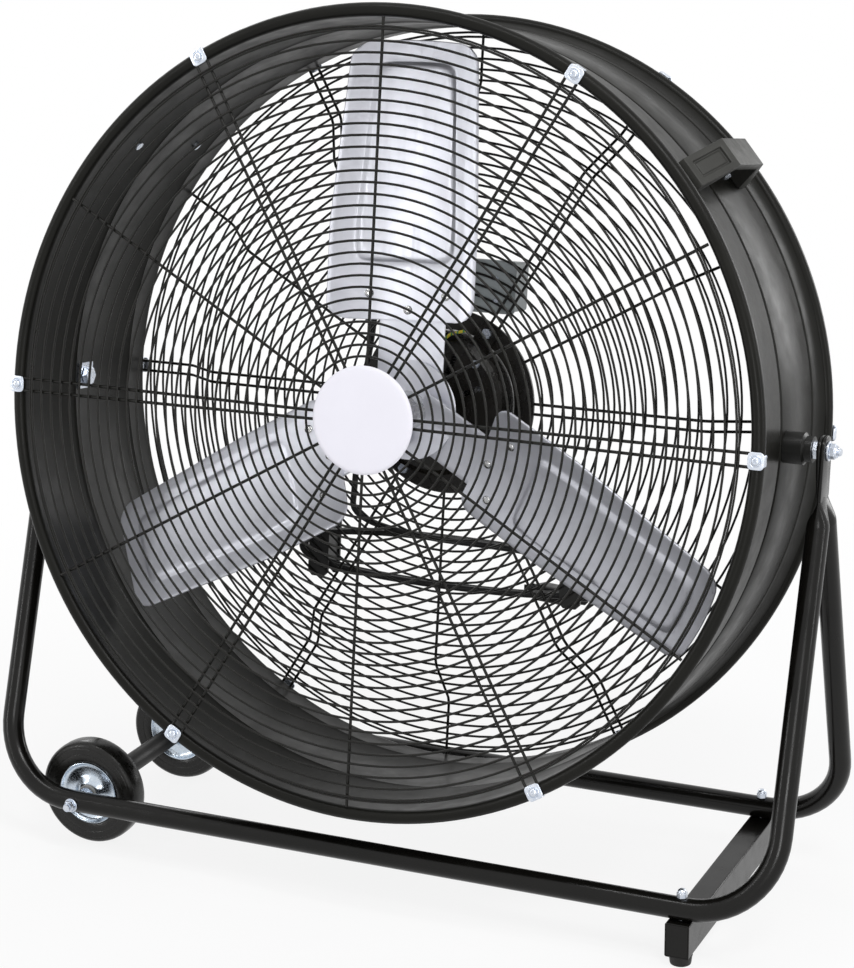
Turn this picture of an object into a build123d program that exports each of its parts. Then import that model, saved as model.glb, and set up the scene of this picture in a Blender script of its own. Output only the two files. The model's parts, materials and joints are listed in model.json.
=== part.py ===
from build123d import *
import math
import os

# Drum fan: a tilting steel drum with a direct-drive paddle fan, carried between two bent tube
# frames that stand on two wheels at the left and on a cross beam with rubber feet at the right.
# Millimetres. The origin is on the floor under the middle of the whole fan, +Z is up, the air
# leaves towards -Y and +X is to the right of somebody who faces the front guard. The pieces are
# drawn about the pivot's foot and moved to the origin at the end.

# ---------------------------------------------------------------- driving dimensions: stand
tube_dia = 23.0              # bent frame tube
tube_wall = 1.8
stand_stand_off = 38.0       # leg centre lines, outside the drum's sheet
stand_half_depth = 137.0     # bottom runs, in front of and behind the middle
corner_radius = 84.0         # centre-line bend of the bottom corners
drum_floor_room = 101.5      # the drum's sheet over the floor, at the pivot's height
pivot_y = -8.0               # the pivot is this far in front of the middle of the whole
leg_top_drop = 75.0          # the round part of a leg ends this far below the pivot
leg_clear = 3.4              # gap between the two round legs where they come closest
flatten_length = 30.0        # length over which a leg is pressed flat
tab_thickness = 4.0
tab_width = 32.0
tab_end_radius = 15.0
tab_overlap = 10.0           # how far a pressed leg reaches past the middle, beside the other

beam_leg_room = 90.5         # from the middle of the right legs in to the middle of the beam
beam_width = 25.0
beam_height = 36.0
beam_wall = 2.0
beam_overhang = 15.0
foot_dia = 24.0
foot_bolt_dia = 6.0
foot_recess_dia = 13.0
foot_recess_depth = 5.5

axle_leg_room = 92.5         # from the middle of the left legs in to the axle
axle_washer_dia = 17.0
axle_dia = 8.0
axle_tube_dia = 22.0
axle_tube_wall = 2.0
wheel_dia = 117.0
tyre_width = 28.0
tyre_shoulder = 5.0
rim_dia = 70.0
rim_sheet = 1.5
rim_dish = 6.0
hub_dia = 20.0
hub_length = 30.0
wheel_spacer_dia = 16.0
wheel_spacer_length = 10.0

# ---------------------------------------------------------------- driving dimensions: drum
tilt = 7.9                   # the front looks up by this many degrees
drum_radius = 397.5          # outside of the sheet
drum_sheet = 1.5
drum_depth = 244.0           # between the middles of the two rolled edges
bead_dia = 14.0
pivot_ahead = 6.0            # the pivot lies this far ahead of the drum's middle
swage_places = (19.0, -95.0)    # stiffening grooves, ahead of the pivot
swage_width = 7.0
swage_depth = 2.5

pivot_bolt_dia = 10.0
pivot_head_af = 17.0
pivot_spacer_dia = 32.0
pivot_spacer_length = 28.0
pivot_plate_size = 28.0
pivot_plate_thickness = 2.5
pivot_washer_dia = 24.0
pivot_washer_thickness = 2.0

wire = 2.6                   # guard rings
spoke = 3.2                  # guard spokes
ring_pitch = 11.45
front_first_ring = 63.6
front_rim_room = 13.0        # between the drum's sheet and the last of the even rings
rim_ring_room = 6.4          # between the drum's sheet and the closing ring
pair_gap_hub = 8.5           # twin spokes, between their middles at the badge
pair_gap_rim = 13.0
badge_dia = 109.0
badge_thickness = 3.0
badge_bevel = 1.2

dish_outer_radius = 335.0    # the rear guard steps in from here
dish_inner_radius = 286.0    # to here
dish_plane_z = -94.0         # where its middle lies
cone_ring_count = 4
rear_first_ring = 106.0

clip_length = 17.0
clip_width = 18.0
clip_leg_width = 13.0
clip_leg_drop = 11.0
clip_sheet = 1.5
clip_screw_dia = 4.0

handle_angle = 40.3          # up from the horizontal, on both sides
handle_length = 156.0
handle_height = 41.0
handle_width = 32.0
handle_top_length = 78.0
handle_end_height = 9.0
handle_grip = 13.0
handle_foot_length = 24.0
handle_recess_depth = 3.0
handle_screw_dia = 5.0

# ---------------------------------------------------------------- driving dimensions: fan
motor_dia = 152.0
motor_front_z = -50.0
motor_rear_z = -133.0
motor_shell = 2.0
bell_depth = 16.0
bell_wall = 4.0
shaft_dia = 14.0
bearing_dia = 35.0
bearing_width = 11.0
mount_ring_width = 22.0
mount_ring_thickness = 3.0
mount_lug_width = 22.0
mount_lug_thickness = 5.0
mount_bolt_dia = 5.0
mount_washer_dia = 16.0
mount_bolt_angles = (60.0, 120.0, 240.0, 300.0)
through_bolt_dia = 5.0

rotor_z = 12.0               # middle plane of the blades
blade_angles = (90.0, 210.0, 330.0)
blade_tip_room = 20.5        # between the blade tips and the outside of the sheet
blade_root_radius = 92.0
blade_pitch = 23.0
blade_camber_radius = 330.0
blade_sheet = 2.0
blade_lead_side = 78.0       # the edge that lies forward, from the blade's middle line
blade_trail_side = 58.0
blade_tip_lead = 66.0
blade_tip_trail = 50.0
blade_corner_radius = 18.0
panel_margin = 24.0
panel_raise = 3.0
panel_root_margin = 62.0
spider_radius = 52.0
spider_arm_width = 62.0
spider_arm_reach = 128.0
spider_sheet = 3.0
rivet_dia = 6.0
rivet_places = ((119.0, 42.0), (103.0, 6.0), (119.0, -30.0))
collar_dia = 40.0
collar_length = 46.0

# ---------------------------------------------------------------- driving dimensions: controls
box_width = 102.0
box_height = 52.0
box_depth = 40.0
box_x = 15.0
box_y = 125.0                # above the motor's axis
box_wall = 2.0
lid_thickness = 2.0
knob_dia = 30.0
knob_height = 16.0
knob_x = 15.0
knob_stem_dia = 6.0
knob_stem_length = 14.0
switch_size = 28.0
switch_depth = 13.0
box_screw_dia = 3.0
box_post_dia = 8.0
box_screw_head = 5.0
box_screw_angles = ((67.0, 1), (71.0, 3), (99.0, 0), (97.0, 3))    # each with its gap between rings
gland_y = 138.0
gland_dia = 18.0
gland_length = 12.0
relief_length = 14.0

cord_dia = 7.0
hook_x = 148.0
hook_y = -179.0
hook_width = 6.0
hook_height = 38.0
hook_length = 44.0
hook_base_width = 24.0
hook_base_height = 60.0
hook_lip_height = 66.0
hook_lip_width = 10.0
hook_sheet = 3.0
coil_half_width = 175.5      # centre line of the cord
coil_half_height = 25.5
coil_corner_radius = 24.0
coil_corner_limit = 45.0
coil_first_z = -104.0
coil_pitch = 8.6             # from one turn to the next
coil_turns = 3
plug_length = 42.0
plug_width = 26.0
plug_thickness = 18.0
plug_pin_dia = 4.8
plug_pin_length = 19.0
plug_pin_spacing = 19.0

running = 0.05               # radial clearance of a turning fit
gap = 0.3                    # end play between moving neighbours
hole_clear = 0.2             # radial clearance of a bolt in its hole

# ---------------------------------------------------------------- places that follow from them
tube_radius = tube_dia / 2
stand_half_width = drum_radius + stand_stand_off
beam_x = stand_half_width - beam_leg_room
axle_x = axle_leg_room - stand_half_width
pivot_height = drum_radius + drum_floor_room
blade_tip_radius = drum_radius - blade_tip_room
front_ring_count = int((drum_radius - front_rim_room - front_first_ring) / ring_pitch) + 1
axle_height = wheel_dia / 2
foot_height = axle_height - tube_radius - beam_height
leg_top_y = tube_radius + leg_clear / 2
tab_inner_x = stand_half_width - tab_thickness
front_bead_z = drum_depth / 2 - pivot_ahead
rear_bead_z = -drum_depth / 2 - pivot_ahead
drum_inner = drum_radius - drum_sheet
bead_ring_radius = drum_inner + bead_dia / 2
front_face_z = front_bead_z + bead_dia / 2
rear_face_z = rear_bead_z - bead_dia / 2
guard_reach = bead_ring_radius - math.sqrt((bead_dia / 2) ** 2 - (bead_dia / 2 - spoke) ** 2) - 0.1
wheel_y = stand_half_depth - tube_radius - wheel_spacer_length - gap - hub_length / 2
cos_tilt = math.cos(math.radians(tilt))
sin_tilt = math.sin(math.radians(tilt))

# The drum's own frame: x to the right, y up across the drum, z along its axis to the front.
DRUM = Plane(origin=(0, 0, pivot_height), x_dir=(1, 0, 0), z_dir=(0, -cos_tilt, sin_tilt)).location


# ---------------------------------------------------------------- small helpers
def polar(radius, angle, z=0.0):
    """A point at this radius and angle (degrees) about the z axis."""
    return Vector(radius * math.cos(math.radians(angle)), radius * math.sin(math.radians(angle)), z)


def rod(start, end, dia):
    """A round bar from one point to another."""
    run = Vector(*end) - Vector(*start)
    return extrude(Plane(origin=start, z_dir=run) * Circle(dia / 2), amount=run.length)


def stud(start, end, dia):
    """A small round bar with eight flats, for the shanks and heads of small fasteners."""
    run = Vector(*end) - Vector(*start)
    return extrude(Plane(origin=start, z_dir=run) * RegularPolygon(dia / 2, 8), amount=run.length)


def pipe(start, end, dia, bore):
    """A round tube from one point to another."""
    return rod(start, end, dia) - rod(start, end, bore)


def hexagon(start, end, across_flats):
    """A hexagonal bar from one point to another."""
    run = Vector(*end) - Vector(*start)
    sketch = RegularPolygon(across_flats / 2, 6, major_radius=False)
    return extrude(Plane(origin=start, z_dir=run) * sketch, amount=run.length)


def disc(radius, low, high, bore=0.0):
    """A washer shape about the z axis between two levels."""
    sketch = Circle(radius)
    if bore > 0:
        sketch -= Circle(bore)
    return Pos(0, 0, low) * extrude(sketch, amount=high - low)


def turned(points):
    """A solid of revolution about the z axis from (radius, z) corners."""
    outline = Polyline(*[(radius, 0, z) for radius, z in points], close=True)
    return revolve(make_face(outline), axis=Axis.Z, revolution_arc=360)


def on_drum(shape):
    """From the drum's own frame to the part's frame."""
    return DRUM * shape


def both_sides(shape):
    """A shape and its mirror image across the middle plane."""
    return Compound(children=[shape, mirror(shape, about=Plane.YZ)])


def group(*shapes):
    """Separate solids kept together in one node."""
    solids = []
    for shape in shapes:
        solids += shape.solids()
    return Compound(children=solids)


# ---------------------------------------------------------------- stand
def frame_tube(side, outer_tab):
    """One U-shaped frame: bottom run, bends, two leaning legs and their flattened, drilled ends.

    The run, the bends and the legs meet face to face at the tangent points.
    """
    top_z = pivot_height - leg_top_drop
    corners = [
        (-stand_half_width, side * leg_top_y, top_z),
        (-stand_half_width, side * stand_half_depth, axle_height),
        (stand_half_width, side * stand_half_depth, axle_height),
        (stand_half_width, side * leg_top_y, top_z),
    ]
    path = FilletPolyline(*corners, radius=corner_radius)
    lengths = []
    for edge in path.edges().sort_by(Axis.X):
        start = Plane(origin=edge @ 0, z_dir=edge % 0)
        length = sweep(start * Circle(tube_radius), path=edge)
        lengths.append(length - sweep(start * Circle(tube_radius - tube_wall), path=edge))
    left_leg, left_bend, run, right_bend, right_leg = lengths

    leg = (Vector(*corners[3]) - Vector(*corners[2])).normalized()
    tab_middle = tab_inner_x + tab_thickness / 2 + (tab_thickness if outer_tab else 0)
    leg_top = Vector(*corners[3])
    tab_foot = Vector(tab_middle, side * (tab_width / 2 - tab_overlap), top_z + flatten_length)
    round_end = Plane(origin=leg_top, x_dir=(1, 0, 0), z_dir=leg) * Circle(tube_radius)
    flat_end = Plane(origin=tab_foot, x_dir=(1, 0, 0), z_dir=(0, 0, 1))
    flat_end = flat_end * Ellipse(tab_thickness / 2, tab_width / 2)
    press = loft([round_end.face(), flat_end.face()])
    far = side * (tab_width - tab_overlap)
    top = top_z + 2 * flatten_length
    relief = make_face(Polyline((0, top_z - 1), (far, tab_foot.Z), (far, top), (-far, top),
                                (-far, top_z - 1), close=True))
    facing = Plane(origin=(stand_half_width, 0, 0), x_dir=(0, 1, 0), z_dir=(1, 0, 0))
    press -= extrude(facing * relief, amount=-tube_dia if outer_tab else tube_dia)
    seat = Plane(origin=(tab_middle - tab_thickness / 2, 0, 0), x_dir=(0, 1, 0), z_dir=(1, 0, 0))
    circles = Pos(tab_foot.Y, tab_foot.Z) * Circle(tab_width / 2)
    circles += Pos(0, pivot_height) * Circle(tab_end_radius)
    tab = extrude(seat * make_hull(circles.edges()), amount=tab_thickness)
    bore = rod((tab_inner_x - 1, 0, pivot_height), (stand_half_width + 2 * tab_thickness, 0, pivot_height),
               pivot_bolt_dia + 2 * running)
    end = press + tab - bore
    left_leg += mirror(end, about=Plane.YZ)
    right_leg += end

    y = side * stand_half_depth
    run -= rod((axle_x, y - tube_dia, axle_height), (axle_x, y + tube_dia, axle_height),
               axle_dia + 2 * hole_clear)
    run -= rod((beam_x, y, axle_height - tube_dia), (beam_x, y, axle_height + tube_dia),
               foot_bolt_dia + 2 * hole_clear)
    return group(left_leg, left_bend, run, right_bend, right_leg)


def foot_beam():
    """Rectangular tube under both frames, its ends closed by welded plates."""
    length = 2 * (stand_half_depth + beam_overhang)
    middle = Pos(beam_x, 0, foot_height + beam_height / 2)
    beam = middle * Box(beam_width, length, beam_height)
    beam -= middle * Box(beam_width - 2 * beam_wall, length - 2 * beam_wall, beam_height - 2 * beam_wall)
    for y in (-stand_half_depth, stand_half_depth):
        beam -= rod((beam_x, y, 0), (beam_x, y, axle_height), foot_bolt_dia + 2 * hole_clear)
    return beam


def rubber_feet():
    """Two round pads with a recess for the bolt head."""
    pads = []
    for y in (-stand_half_depth, stand_half_depth):
        pad = Pos(beam_x, y, foot_height / 2) * Cylinder(foot_dia / 2, foot_height)
        pad = chamfer(pad.faces().sort_by(Axis.Z)[0].edges(), 1.5)
        pad -= rod((beam_x, y, 0), (beam_x, y, foot_recess_depth), foot_recess_dia)
        pad -= rod((beam_x, y, 0), (beam_x, y, foot_height), foot_bolt_dia + 2 * hole_clear)
        pads.append(pad)
    return group(*pads)


def foot_bolts():
    """Hexagon bolts up through the pads, the beam and the frames."""
    bolts = []
    for y in (-stand_half_depth, stand_half_depth):
        shank = rod((beam_x, y, foot_recess_depth), (beam_x, y, axle_height + tube_radius + 4), foot_bolt_dia)
        head = hexagon((beam_x, y, foot_recess_depth - 4), (beam_x, y, foot_recess_depth), 10)
        bolts.append(shank + head)
    return group(*bolts)


def foot_cap_nuts():
    """Domed nuts on top of the bottom runs."""
    nuts = []
    for y in (-stand_half_depth, stand_half_depth):
        low = axle_height + tube_radius
        nut = hexagon((beam_x, y, low), (beam_x, y, low + 5), 10)
        nut += Pos(beam_x, y, low + 5) * Sphere(4.6)
        nut -= rod((beam_x, y, low - 5), (beam_x, y, low + 4), foot_bolt_dia)
        nut -= Pos(beam_x, y, low - 5) * Box(12, 12, 10)
        nuts.append(nut)
    return group(*nuts)


axle_end_y = stand_half_depth + tube_radius + 10.5


def wheel_axle():
    """One threaded rod from frame to frame."""
    return rod((axle_x, -axle_end_y, axle_height), (axle_x, axle_end_y, axle_height), axle_dia)


def axle_nuts():
    """A nut with its washer outside each frame."""
    seat = stand_half_depth + tube_radius
    nuts = []
    for side in (-1, 1):
        nut = hexagon((axle_x, side * (seat + 1.6), axle_height), (axle_x, side * (seat + 8.1), axle_height), 13)
        washer = rod((axle_x, side * seat, axle_height), (axle_x, side * (seat + 1.6), axle_height),
                     axle_washer_dia)
        bore = rod((axle_x, side * seat, axle_height), (axle_x, side * (seat + 9), axle_height), axle_dia)
        nuts += [nut - bore, washer - bore]
    return group(*nuts)


def axle_spacer_tube():
    """Painted tube between the two wheels."""
    half = wheel_y - hub_length / 2 - gap
    return pipe((axle_x, -half, axle_height), (axle_x, half, axle_height), axle_tube_dia,
                axle_tube_dia - 2 * axle_tube_wall)


def wheel_spacers():
    """Short bushes between each frame and its wheel."""
    far = stand_half_depth - tube_radius
    near = far - wheel_spacer_length
    spacers = []
    for side in (-1, 1):
        spacers.append(pipe((axle_x, side * near, axle_height), (axle_x, side * far, axle_height),
                            wheel_spacer_dia, axle_dia + 2 * hole_clear))
    return group(*spacers)


# ---------------------------------------------------------------- wheels
def upright(shape, side):
    """Stand a wheel piece, made about z, on the axle at the front or the back."""
    return Pos(axle_x, side * wheel_y, axle_height) * Rot(90, 0, 0) * shape


def tyre():
    """Solid rubber tyre with rounded shoulders and a shallow ring in each side wall."""
    half = tyre_width / 2
    outer = wheel_dia / 2
    bead = rim_dia / 2
    groove = (outer + bead) / 2
    side_wall = [(outer, half - tyre_shoulder), (outer - tyre_shoulder, half), (groove + 6, half),
                 (groove, half - 1.5), (bead + 3, half - 1), (bead, half - 2)]
    return turned(side_wall + [(radius, -z) for radius, z in reversed(side_wall)])


def rim():
    """Two dished pressings, back to back, on the hub."""
    lip = tyre_width / 2 - 1
    outer = rim_dia / 2 - 0.05
    hub = hub_dia / 2
    flat = lip - rim_dish
    half = [(outer, 0), (outer, lip), (outer - 3, lip), (outer - 7, flat), (hub + 7, flat),
            (hub, lip - 1), (hub, lip - 1 - rim_sheet), (hub + 6, flat - rim_sheet),
            (outer - 8, flat - rim_sheet), (outer - rim_sheet - 2, flat), (outer - rim_sheet, 0)]
    pressing = turned(half)
    return group(pressing, mirror(pressing, about=Plane.XY))


def wheel_bush():
    """Plain bearing pressed through the rim."""
    return disc(hub_dia / 2 - 0.05, -hub_length / 2, hub_length / 2, axle_dia / 2 + running)


# ---------------------------------------------------------------- drum
def drum_shell():
    """Rolled sheet with its stiffening grooves and a rolled edge at each end."""
    half = swage_width / 2
    outside = [(drum_radius, rear_bead_z)]
    for z in sorted(swage_places):
        outside += [(drum_radius, z - half), (drum_radius - swage_depth, z), (drum_radius, z + half)]
    outside.append((drum_radius, front_bead_z))
    inside = [(radius - drum_sheet, z) for radius, z in reversed(outside)]
    wall = turned(outside + inside)
    for z in (front_bead_z, rear_bead_z):
        wall += Pos(0, 0, z) * Torus(bead_ring_radius, bead_dia / 2)
    for side in (-1, 1):
        wall -= rod((side * (drum_inner - 8), 0, 0), (side * (drum_radius + 8), 0, 0),
                    pivot_bolt_dia + 2 * hole_clear)
        for z in (-handle_screw_z, handle_screw_z):
            angle = 90 - side * (90 - handle_angle)
            wall -= rod(polar(drum_inner - 8, angle, z), polar(drum_radius + 8, angle, z),
                        handle_screw_dia + 2 * hole_clear)
    return wall


handle_screw_z = handle_length / 2 - handle_foot_length / 2 - 3


def ring(radius, low, thick, sides=0):
    """One guard ring of square wire with twelve flats, or eighteen where it is large."""
    sides = sides or (18 if radius > 0.45 * drum_radius else 12)
    outer = RegularPolygon(radius + wire / 2, sides)
    inner = RegularPolygon(radius - wire / 2, sides)
    return Pos(0, 0, low) * extrude(outer - inner, amount=thick)


def flat_spoke(angle, inner, outer, off_inner, off_outer, low):
    """A straight wire from the hub side to the rim side of a flat guard."""
    start = polar(inner, angle, low + spoke / 2) + polar(off_inner, angle + 90)
    end = polar(outer, angle, low + spoke / 2) + polar(off_outer, angle + 90)
    run = end - start
    plane = Plane(origin=start, x_dir=(0, 0, 1), z_dir=run)
    return extrude(plane * Rectangle(spoke, spoke), amount=run.length)


def front_guard():
    """Flat guard: rings in front, twin and single spokes behind them, all welded."""
    back = front_face_z - spoke
    wires = [ring(front_first_ring + ring_pitch * i, front_face_z, wire) for i in range(front_ring_count)]
    wires.append(ring(drum_radius - rim_ring_room, front_face_z, wire))
    hub = badge_dia / 2 - 10
    for k in range(6):
        for side in (-1, 1):
            wires.append(flat_spoke(60 * k, hub, guard_reach, side * pair_gap_hub / 2,
                                    side * pair_gap_rim / 2, back))
        wires.append(flat_spoke(60 * k + 30, hub, guard_reach, 0, 0, back))
    inner = RegularPolygon(badge_dia / 2 - 12, 12)
    hub_ring = RegularPolygon(badge_dia / 2 - 2, 12) - inner
    wires.append(Pos(0, 0, front_face_z) * extrude(hub_ring, amount=wire))
    return group(*wires)


def guard_badge():
    """Bare round badge with a bevelled edge over the middle of the front guard."""
    low = front_face_z + wire
    badge = Pos(0, 0, low + badge_thickness / 2) * Cylinder(badge_dia / 2, badge_thickness)
    return chamfer(badge.faces().sort_by(Axis.Z)[-1].edges(), badge_bevel, 3 * badge_bevel)


def stepped_spoke(angle, offset):
    """A rear guard wire with its step: outer part on the rolled edge, inner part set forward."""
    back_out = rear_face_z - spoke
    front_in = dish_plane_z + spoke
    inner = motor_dia / 2 + 4
    slant = spoke * math.tan(math.radians(22.5))
    outline = Polyline(
        (bead_ring_radius + 2, back_out), (bead_ring_radius + 2, rear_face_z),
        (dish_outer_radius + slant, rear_face_z), (dish_inner_radius + slant, front_in),
        (inner, front_in), (inner, dish_plane_z), (dish_inner_radius, dish_plane_z),
        (dish_outer_radius, back_out), close=True)
    blank = extrude(make_face(outline), amount=spoke / 2, both=True)
    return Rot(0, 0, angle) * Pos(0, offset, 0) * Rot(90, 0, 0) * blank


def rear_guard():
    """Dished guard: its middle steps forward to the motor, its edge lies on the rolled edge."""
    wires = []
    inner_count = int((dish_inner_radius - 4 - rear_first_ring) / ring_pitch) + 1
    for i in range(inner_count):
        wires.append(ring(rear_first_ring + ring_pitch * i, dish_plane_z - wire, wire))
    for i in range(cone_ring_count):
        share = (i + 0.5) / cone_ring_count
        radius = dish_inner_radius + share * (dish_outer_radius - dish_inner_radius)
        z = dish_plane_z + share * (rear_face_z - spoke - dish_plane_z)
        wires.append(ring(radius - wire / 2, z - 1.2 * wire, wire, 12))
    outer_room = bead_ring_radius - 2 - dish_outer_radius - ring_pitch / 2
    outer_count = int(outer_room / ring_pitch) + 1
    for i in range(outer_count):
        wires.append(ring(dish_outer_radius + ring_pitch * (i + 0.5), rear_face_z - spoke - wire, wire))
    for k in range(6):
        for side in (-1, 1):
            wires.append(stepped_spoke(60 * k, side * (pair_gap_hub + pair_gap_rim) / 4))
        wires.append(stepped_spoke(60 * k + 30, 0))
    return group(*wires)


def clip(angle, face, way):
    """A pressed clip: a pad on the rolled edge, over the spoke ends, and a leg down outside it."""
    reach = bead_ring_radius + bead_dia / 2
    pad = Pos(reach + clip_sheet - clip_length / 2, 0, face + way * clip_sheet / 2)
    shape = pad * Box(clip_length, clip_width, clip_sheet)
    leg = Pos(reach + clip_sheet / 2, 0, face - way * (clip_leg_drop / 2 - clip_sheet))
    shape += leg * Box(clip_sheet, clip_leg_width, clip_leg_drop)
    shape -= Pos(bead_ring_radius, 0, face) * Cylinder(clip_screw_dia / 2 + hole_clear, 8)
    return Rot(0, 0, angle) * shape


def clip_set(face, way):
    """Six clips round one end of the drum."""
    return group(*[clip(60 * k, face, way) for k in range(6)])


def clip_screws(face, way):
    """A screw in each clip of one end."""
    screws = []
    for k in range(6):
        top = face + way * clip_sheet
        spot = polar(bead_ring_radius, 60 * k)
        shank = stud((spot.X, spot.Y, face), (spot.X, spot.Y, top), clip_screw_dia)
        head = hexagon((spot.X, spot.Y, top), (spot.X, spot.Y, top + way * 2.6), 2 * clip_screw_dia)
        screws.append(shank + head)
    return group(*screws)


def pivot_plates():
    """Square plates under the bolt heads, inside the drum wall."""
    face = math.sqrt(drum_inner ** 2 - (pivot_plate_size / 2) ** 2)
    plate = Pos(face - pivot_plate_thickness / 2, 0, 0)
    plate = plate * Box(pivot_plate_thickness, pivot_plate_size, pivot_plate_size)
    plate -= rod((face - 10, 0, 0), (face + 10, 0, 0), pivot_bolt_dia + 2 * hole_clear)
    return both_sides(plate)


def pivot_bolts():
    """The bolts that the drum tilts on, head inside, thread outside the stand's tabs."""
    seat = math.sqrt(drum_inner ** 2 - (pivot_plate_size / 2) ** 2) - pivot_plate_thickness
    end = stand_half_width + tab_thickness + gap + pivot_washer_thickness + 12
    bolt = rod((seat, 0, 0), (end, 0, 0), pivot_bolt_dia)
    bolt += hexagon((seat - 6.5, 0, 0), (seat, 0, 0), pivot_head_af)
    return both_sides(bolt)


def pivot_spacers():
    """Stepped plastic distance pieces between the drum wall and the stand."""
    start = drum_radius
    end = start + pivot_spacer_length
    radius = pivot_spacer_dia / 2
    profile = [(pivot_bolt_dia / 2 + hole_clear, start), (radius, start), (radius, end - 9),
               (radius - 3, end - 7), (radius - 3, end), (pivot_bolt_dia / 2 + hole_clear, end)]
    return both_sides(Rot(0, 90, 0) * turned(profile))


def pivot_nuts():
    """A lock nut against each spacer and a nut outside each pair of tabs."""
    inner_start = drum_radius + pivot_spacer_length
    inner_end = tab_inner_x - gap
    outer_start = stand_half_width + tab_thickness + gap + pivot_washer_thickness
    bore = rod((drum_inner, 0, 0), (stand_half_width + 40, 0, 0), pivot_bolt_dia)
    lock = hexagon((inner_start, 0, 0), (inner_end, 0, 0), pivot_head_af) - bore
    nut = hexagon((outer_start, 0, 0), (outer_start + 8, 0, 0), pivot_head_af) - bore
    return group(both_sides(lock), both_sides(nut))


def pivot_washers():
    """Washers between the outer nuts and the tabs."""
    start = stand_half_width + tab_thickness + gap
    end = start + pivot_washer_thickness
    return both_sides(pipe((start, 0, 0), (end, 0, 0), pivot_washer_dia, pivot_bolt_dia))


def handle():
    """Moulded grab handle: two sloping legs and a flat grip over a hand opening."""
    half = handle_length / 2
    top = handle_top_length / 2
    inner_half = half - handle_foot_length
    inner_top = top - 4
    under = handle_height - handle_grip
    outline = Polyline((-half, 0), (-half, handle_end_height), (-top, handle_height), (top, handle_height),
                       (half, handle_end_height), (half, 0), (inner_half, 0), (inner_top, under),
                       (-inner_top, under), (-inner_half, 0), close=True)
    body = extrude(make_face(outline), amount=handle_width / 2, both=True)
    rims = body.edges().filter_by(Axis.Z, reverse=True).filter_by(lambda e: e.center().Y > 4)
    body = chamfer(rims, 2.0)
    slope = math.degrees(math.atan2(handle_height - handle_end_height, half - top))
    slope_length = math.hypot(handle_height - handle_end_height, half - top)
    for side in (-1, 1):
        spot = Pos(side * (half + top) / 2, (handle_height + handle_end_height) / 2, 0)
        tool = Box(slope_length * 0.56, 2 * handle_recess_depth, handle_width * 0.58)
        body -= spot * Rot(0, 0, -side * slope) * tool
        screw = Pos(side * handle_screw_z, 0, 0) * Rot(90, 0, 0)
        body -= screw * Cylinder(handle_screw_dia / 2, 2 * (handle_end_height + 2))
    return body


def handle_on(side):
    """Lay the handle along the drum at its angle; side +1 is the right."""
    angle = 90 - side * (90 - handle_angle)
    seat = Plane(origin=polar(drum_radius, angle), x_dir=(0, 0, 1), z_dir=polar(1, angle + 90))
    return seat.location * handle()


def handle_screws():
    """Two screws for each handle, their heads inside the drum."""
    screws = []
    for side in (-1, 1):
        angle = 90 - side * (90 - handle_angle)
        for z in (-handle_screw_z, handle_screw_z):
            shank = stud(polar(drum_inner - gap, angle, z), polar(drum_radius + handle_end_height, angle, z),
                         handle_screw_dia)
            head = stud(polar(drum_inner - gap - 3, angle, z), polar(drum_inner - gap, angle, z),
                        2 * handle_screw_dia)
            screws.append(shank + head)
    return group(*screws)


# ---------------------------------------------------------------- motor
mount_seat_z = dish_plane_z + spoke
mount_bolt_circle = motor_dia / 2 + mount_ring_width / 2 + 1


def motor_housing():
    """Rolled motor shell with four ears that sit on the mounting ring."""
    low = motor_rear_z + bell_depth
    high = motor_front_z - bell_depth
    radius = motor_dia / 2
    shell = disc(radius, low, high, radius - motor_shell)
    ear_low = mount_seat_z + mount_ring_thickness
    for angle in mount_bolt_angles:
        ear = Pos(radius - 1.5 + mount_ring_width / 2, 0, ear_low + mount_lug_thickness / 2)
        ear = ear * Box(mount_ring_width, mount_lug_width, mount_lug_thickness)
        ear = chamfer(ear.edges().filter_by(Axis.Z).group_by(Axis.X)[-1], 5)
        ear -= Pos(mount_bolt_circle, 0, ear_low) * Cylinder(mount_bolt_dia / 2 + hole_clear, 30)
        shell += Rot(0, 0, angle) * ear
    return shell


def motor_mount_ring():
    """Flat ring on the spokes of the rear guard, round the motor."""
    inner = motor_dia / 2 + 1
    ring_plate = disc(inner + mount_ring_width, mount_seat_z, mount_seat_z + mount_ring_thickness, inner)
    for angle in mount_bolt_angles:
        spot = polar(mount_bolt_circle, angle, mount_seat_z)
        ring_plate -= Pos(*spot) * Cylinder(mount_bolt_dia / 2 + hole_clear, 10)
    return ring_plate


def motor_mount_bolts():
    """Bolts through the ears and the ring, between twin spokes, with nuts behind the wires."""
    bolts = []
    top = mount_seat_z + mount_ring_thickness + mount_lug_thickness
    for angle in mount_bolt_angles:
        spot = polar(mount_bolt_circle, angle)
        bolt = stud((spot.X, spot.Y, dish_plane_z - 7), (spot.X, spot.Y, top), mount_bolt_dia)
        bolt += hexagon((spot.X, spot.Y, top), (spot.X, spot.Y, top + 4), 10)
        nut = stud((spot.X, spot.Y, dish_plane_z - 1.5), (spot.X, spot.Y, dish_plane_z),
                   mount_washer_dia)
        nut += hexagon((spot.X, spot.Y, dish_plane_z - 6), (spot.X, spot.Y, dish_plane_z - 1.5), 10)
        bolts.append(bolt + nut)
    return group(*bolts)


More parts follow.
